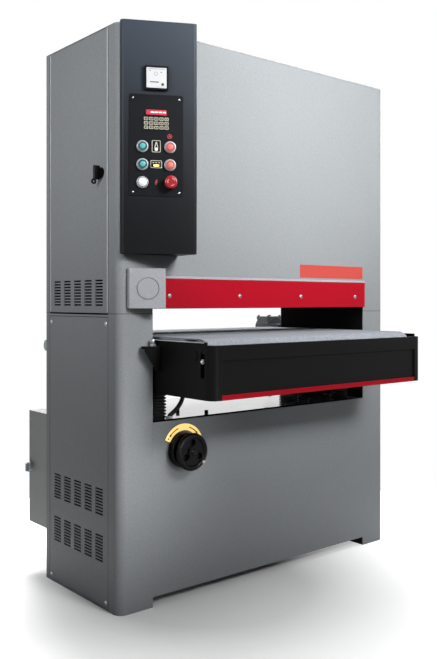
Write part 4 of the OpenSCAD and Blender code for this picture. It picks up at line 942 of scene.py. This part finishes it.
# Painted highlight: the rails' pale colour also stands for the light on the frame's top edge.
rail = slab(box_outline(rail_length, RAIL_W), 0, RAIL_T)
rail_z = frame_high[2] - RAIL_DROP
rails = [(rail, on_left(frame_y, rail_z, frame_low[0])), (rail, on_right(frame_y, rail_z, frame_high[0]))]
piece("table_rails", rails, EDGE_HIGHLIGHT, "table", smooth=False)
# Painted shade: a black sheet behind the nut stands for the slot's dark depth.
slot_depth_shade = slab(box_outline(SLOT_W, frame_high[2] - frame_low[2] - SLOT_SHORT), 0, 1)
slot_y = frame_low[1] + SLOT_ASIDE
shade_at = on_left(slot_y, frame_z, frame_low[0] + SHADE_IN)
piece("slot_depth_shade", [(slot_depth_shade, shade_at)], SHADE_BLACK, "table", smooth=False)
nut_at = on_left(slot_y, NUT_Z, frame_low[0] + NUT_IN)
piece("slot_nut", [(slab(HEX * 8, 0, 6), nut_at)], STEEL, "table", smooth=False, edge=0.5)
slot_stud = turned([(TIP, 12), (3.4, 12), (4, 11), (4, 0)], 16)
piece("slot_stud", [(slot_stud, nut_at)], STEEL, "table")
idler_cap = turned([(TIP, 2.4), (15, 2.4), (16.6, 2.2), (17, 1.6), (17, 0)])
_, idler_y, idler_z = middle_mm("feed_idler_roller")
cap_spots = [on_left(idler_y, idler_z, frame_low[0]), on_right(idler_y, idler_z, frame_high[0])]
piece("idler_caps", [(idler_cap, at) for at in cap_spots], BLACK, "table")
print("table rails", round(rail_length), "mm long, slot nut and idler caps made")

# %% [markdown]
# ## Stop screw
# A screw with a jam nut stands in the limit bracket beside the table. Its thread is finer than a pixel and
# could be a bump at best, so a plain turned stud with a chamfer does, on a six-sided slab for the nut.

# %% Stop screw
LIMIT_RIGHT, LIMIT_BACK, LIMIT_DROP = 38, 17, 22
limit_low, limit_high = box_mm("limit_bracket")
limit_spot = (limit_low[0] + LIMIT_RIGHT, limit_low[1] + LIMIT_BACK)
limit_at = facing_up(*limit_spot, limit_high[2] - LIMIT_DROP)
piece("limit_nut", [(slab(HEX * 10, 0, 6), limit_at)], STEEL, "table", smooth=False, edge=0.5)
limit_stud = turned([(TIP, 21.8), (4.4, 21.8), (5.2, 20.8), (5.2, 0)], 20)
piece("limit_stud", [(limit_stud, limit_at)], STEEL, "table")
print("stop screw and jam nut made")

# %% [markdown]
# ## Terminal box
# The wires of the feed motor end in a box on its round can. It has a case, a gasket and a lid with four
# bolts. As three stacked slabs it shows the joint between case and lid, which one block would not.

# %% Terminal box on the feed motor
CAN_R, CAN_L = 42, 90
LID_W, LID_L = 2 * CAN_R, CAN_L - 12
CASE_FOOT, CASE_TOP, LID_FOOT, LID_TOP = -36, -11, -10, 5
_, motor_high = box_mm("feed_motor")
terminal = (motor_high[0] - CAN_R, motor_high[1] - CAN_L / 2)
on_can = facing_up(*terminal, motor_high[2])
case = slab(box_outline(LID_W - 4, LID_L - 4, 4), CASE_FOOT, CASE_TOP)
gasket = slab(box_outline(LID_W - 6, LID_L - 6, 4), CASE_TOP, LID_FOOT)
lid = slab(box_outline(LID_W, LID_L, 5), LID_FOOT, LID_TOP)
stack = [(case, on_can), (gasket, on_can), (lid, on_can)]
piece("terminal_box", stack, BOX_GREY, "table", smooth=False, edge=0.4)
lid_corners = box_outline(LID_W - 16, LID_L - 16) + terminal
lid_bolts = [(slab(HEX * 5, 0, 5), facing_up(x, y, motor_high[2] + LID_TOP)) for x, y in lid_corners]
piece("terminal_bolts", lid_bolts, BLACK, "table", smooth=False, edge=0.5)
print("terminal box with", len(lid_bolts), "bolts")

# %% [markdown]
# ## Bellows
# A rubber bellows covers each lift screw between the deck and the table. Its wall is a wave in radius
# turned round the screw.

# %% Bellows
BELLOWS_R, FOLDS, FOLD_DEPTH, RUBBER_T = 35.0, 12, 8, 1.5
STEPS_PER_FOLD = 8
bellows_low, bellows_high = box_mm("screw_bellows")
screw_spots = [
    (x, y)
    for x in (bellows_low[0] + BELLOWS_R, bellows_high[0] - BELLOWS_R)
    for y in (bellows_low[1] + BELLOWS_R, bellows_high[1] - BELLOWS_R)
]
t = np.linspace(0, 1, FOLDS * STEPS_PER_FOLD + 1)
wave = 0.5 - 0.5 * np.cos(2 * math.pi * FOLDS * t)
radius = BELLOWS_R - FOLD_DEPTH + FOLD_DEPTH * wave**0.7
height = t * (bellows_high[2] - bellows_low[2])
outside = np.c_[radius, height]
inside = np.c_[radius - RUBBER_T, height][::-1]
folds = turned(np.concatenate([outside, inside]), 40)
foot, head = (0, 0, bellows_low[2] * MM), (0, 0, bellows_high[2] * MM)
for k, (x, y) in enumerate(screw_spots):
    sleeve_at = facing_up(x, y, bellows_low[2])
    sleeve = piece(f"bellows_{k + 1}", [(folds, sleeve_at)], RUBBER)
    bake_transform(sleeve)
    if k == 0:
        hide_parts("screw_bellows")
print("bellows:", len(screw_spots), "with", FOLDS, "folds,", round(height[-1]), "mm high")

# %% [markdown]
# ## Conduit
# A ribbed conduit carries wires from the deck to the table. Blender's curves with a bevel could make it,
# but the ribs need a radius that changes along the way. So a circle is carried along a Bezier curve, and
# its radius follows a cosine. The ends of the curve come from the CAD node, and its two pulls are given.

# %% Conduit
HOSE_R, RIBS, RIB_DEPTH, STATIONS, AROUND = 7.5, 26, 0.6, 161, 20
TOP_PULL, FOOT_PULL = (0, 0, -75), (24, 3, 14)
hose_low, hose_high = box_mm("flexible_conduit")
hose_top = np.array([hose_high[0] - HOSE_R, hose_high[1] - HOSE_R, hose_high[2]])
hose_foot = np.array([hose_low[0] + HOSE_R, hose_low[1] + HOSE_R, hose_low[2]])
t = np.linspace(0, 1, STATIONS)[:, None]
spine = (
    (1 - t) ** 3 * hose_top
    + 3 * (1 - t) ** 2 * t * (hose_top + TOP_PULL)
    + 3 * (1 - t) * t**2 * (hose_foot + FOOT_PULL)
    + t**3 * hose_foot
)
heading = np.gradient(spine, axis=0)
heading /= np.linalg.norm(heading, axis=1, keepdims=True)
side = np.cross(heading, [0, 1, 0])
side /= np.linalg.norm(side, axis=1, keepdims=True)
back = np.cross(side, heading)
rib = (HOSE_R - RIB_DEPTH + RIB_DEPTH * np.cos(2 * math.pi * RIBS * t))[:, :, None]
around = np.arange(AROUND)
angle = (around * 2 * math.pi / AROUND)[None, :, None]
spokes = np.cos(angle) * side[:, None] + np.sin(angle) * back[:, None]
points = (spine[:, None] + rib * spokes).reshape(-1, 3)
ends = np.stack([around, len(points) - 1 - around])
tube = (points, [grid_faces(STATIONS, AROUND)[:, ::-1], ends])
hose = piece("conduit", [(tube, HERE)], RUBBER)
foot, head = (0, 0, hose_low[2] * MM), (0, 0, hose_high[2] * MM)
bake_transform(hose)
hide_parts("flexible_conduit")
hose_length = np.linalg.norm(np.diff(spine, axis=0), axis=1).sum()
print("conduit:", round(hose_length), "mm long")

# %% [markdown]
# ## Sanding belt
# A taut loop of abrasive cloth runs over the drum and the tension roller. On the real machine its top turns
# with the tracking yoke while its foot stays on the drum, so the two straight runs of the cloth twist a
# little.
# The CAD band is stiff and would cut into the roller, so this loop takes its place: two arcs and two
# runs, worked out from the wrap radii and the lean of the runs, on a grid that goes round the loop and
# across it.

# %% Sanding belt
CLOTH, RUN_STEPS, ACROSS, STEADY = 1.2, 24, 13, 20
OVER_STEPS, UNDER_STEPS = 37, 41
belt_low, belt_high = box_mm("sanding_belt")
belt_y = (belt_low[1] + belt_high[1]) / 2
drum_wrap = (belt_high[1] - belt_low[1]) / 2
drum_z = belt_low[2] + drum_wrap
roller_z = middle_mm("tension_roller")[2]
roller_wrap = belt_high[2] - roller_z
lean = math.asin((drum_wrap - roller_wrap) / (roller_z - drum_z))
over = np.linspace(lean, math.pi - lean, OVER_STEPS)
under = np.linspace(math.pi - lean, 2 * math.pi + lean, UNDER_STEPS)
down = np.linspace(0, 1, RUN_STEPS + 2)[1:-1]
turn = np.concatenate([over, np.full(RUN_STEPS, over[-1]), under, np.full(RUN_STEPS, under[-1])])[:, None]
drop = np.concatenate([np.zeros(OVER_STEPS), down, np.ones(UNDER_STEPS), down[::-1]])[:, None]
across = np.linspace(belt_low[0], belt_high[0], ACROSS)
x = np.concatenate([across, across[::-1]])[None, :]
wrap = roller_wrap + drop * (drum_wrap - roller_wrap) - np.repeat([0, CLOTH], ACROSS)[None, :]
y = belt_y + wrap * np.cos(turn)
z = roller_z + drop * (drum_z - roller_z) + wrap * np.sin(turn)
points = np.stack(np.broadcast_arrays(x, y, z), -1).reshape(-1, 3)
faces = grid_faces(len(turn) + 1, 2 * ACROSS) % len(points)
loop = piece("sanding_loop", [((points, [faces[:, ::-1]]), HERE)], GRIT)
foot, head = (0, 0, (drum_z + STEADY) * MM), (0, 0, (roller_z - STEADY) * MM)
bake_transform(loop)
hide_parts("sanding_belt")
runs = 2 * (roller_z - drum_z) * math.cos(lean)
loop_length = runs + np.ptp(over) * roller_wrap + np.ptp(under) * drum_wrap
print("sanding belt:", round(loop_length), "mm round its outside")

# %% [markdown]
# ## Floor and background
# The machine stands on a pale floor that runs into white. A plain white floor would need more light than
# the paint can take, so the floor glows beyond the machine and is left to the light near it, where the
# shadow falls. The world is white for the camera and for mirrors, and only a faint sky for everything
# else.

# %% Floor and world
SHADE_MIDDLE = (-0.26, -0.2, 0)
SHADE_FROM, SHADE_TO = 0.33, 0.82
FLOOR_R, FLOOR_SIDES = 1300, 96
AMBIENT = 0.06
scene = bpy.context.scene
floor_paint = Paint(bpy.data.materials.new("floor"))
reach = {0: floor_paint.place(), 1: SHADE_MIDDLE}
away = floor_paint.node("ShaderNodeVectorMath", reach, out="Value", operation="DISTANCE")
floor_material = floor_paint.surface(
    base_color=(0.86, 0.86, 0.86, 1),
    roughness=0.8,
    emission_color=away.ramp(SHADE_FROM, SHADE_TO).mix((0, 0, 0, 1), (0.52, 0.52, 0.52, 1)),
    emission_strength=1.0,
)
around = np.arange(FLOOR_SIDES)
rim = np.c_[polar(FLOOR_R, around * 360 / FLOOR_SIDES), np.zeros(FLOOR_SIDES)]
floor = piece("floor", [((rim, [around[None, :]]), HERE)], floor_material)

scene.world = bpy.data.worlds.new("studio")
sky = Paint(scene.world)
camera_ray, glossy_ray, clear_ray = (
    sky.node("ShaderNodeLightPath", out=f"Is {kind} Ray") for kind in ("Camera", "Glossy", "Transmission")
)
backdrop = sky.node("ShaderNodeBackground", {"Color": (1, 1, 1, 1), "Strength": 1.0})
ambient = sky.node("ShaderNodeBackground", {"Color": (0.94, 0.97, 1.0, 1), "Strength": AMBIENT})
both = sky.node("ShaderNodeMixShader", {0: camera_ray + glossy_ray + clear_ray, 1: ambient, 2: backdrop})
sky.node("ShaderNodeOutputWorld", {"Surface": both})
print("floor", 2 * FLOOR_R, "mm across, and a white world")

# %% [markdown]
# ## Lights
# A photo studio lights a machine with large soft boxes. A broad light hangs above, a key light comes from
# the front, and three others fill the left side, the rear and the low left corner, so that no side is
# black. Area lights make soft shadows by themselves, and a narrow spread keeps a fill light on the side
# that it is meant for.

# %% Lights
AREA_LIGHTS = (
    ("overhead", (1.1, 0.3, 4.2), (1.1, 0.3, 0), (3.8, 5.0), 250, 180),
    ("key", (0.4, -3.2, 2.7), (0.15, -0.2, 1.6), (1.6, 1.0), 31, 48),
    ("side_fill", (-3.4, -0.9, 2.2), (-0.6, 0.0, 1.6), (1.2, 1.0), 8, 42),
    ("rear_fill", (1.4, 3.2, 3.0), (0.0, 0.3, 1.0), (2.2, 0.8), 36, 60),
    ("low_fill", (-0.3, -2.7, 0.75), (-0.62, -0.23, 0.42), (0.4, 0.5), 0.7, 16),
)


def area_light(name, place, target, size, power, spread):
    """A soft rectangle of light at place that looks at target; its spread is in degrees."""
    light = bpy.data.lights.new(name, "AREA")
    light.shape = "RECTANGLE"
    light.size, light.size_y = size
    light.energy = power
    light.spread = math.radians(spread)
    obj = bpy.data.objects.new(name, light)
    scene.collection.objects.link(obj)
    obj.location = place
    obj.rotation_euler = (Vector(target) - Vector(place)).to_track_quat("-Z", "Y").to_euler()


for values in AREA_LIGHTS:
    area_light(*values)
print("lights:", len(AREA_LIGHTS))

# %% [markdown]
# ## Camera
# The camera stands where the photo was taken from, as fitted to the cabinet's edges, and looks level. A
# tilt would make upright edges lean together, so a vertical shift of the lens moves the picture instead.
# Focal length and shift were found in pixels of the photo, and its height turns them into Blender's
# millimetres and shares.

# %% Camera
PHOTO_H, FOCAL_PX, SHIFT_PX = 659, 799.07, 28.54
SENSOR = 36
AZIMUTH = -39.7
camera = bpy.data.objects.new("camera", bpy.data.cameras.new("camera"))
scene.collection.objects.link(camera)
scene.camera = camera
camera.location = (-1.9315, -2.2744, 0.95435)
camera.rotation_euler = (math.radians(90), 0, math.radians(AZIMUTH))
camera.data.sensor_width = SENSOR
camera.data.lens = FOCAL_PX * SENSOR / PHOTO_H
camera.data.shift_y = -SHIFT_PX / PHOTO_H
camera.data.clip_end = 100
scene.view_settings.view_transform = "Standard"
scene.render.engine = "CYCLES"
print("camera at", tuple(round(v, 3) for v in camera.location), "lens", round(camera.data.lens, 1), "mm")
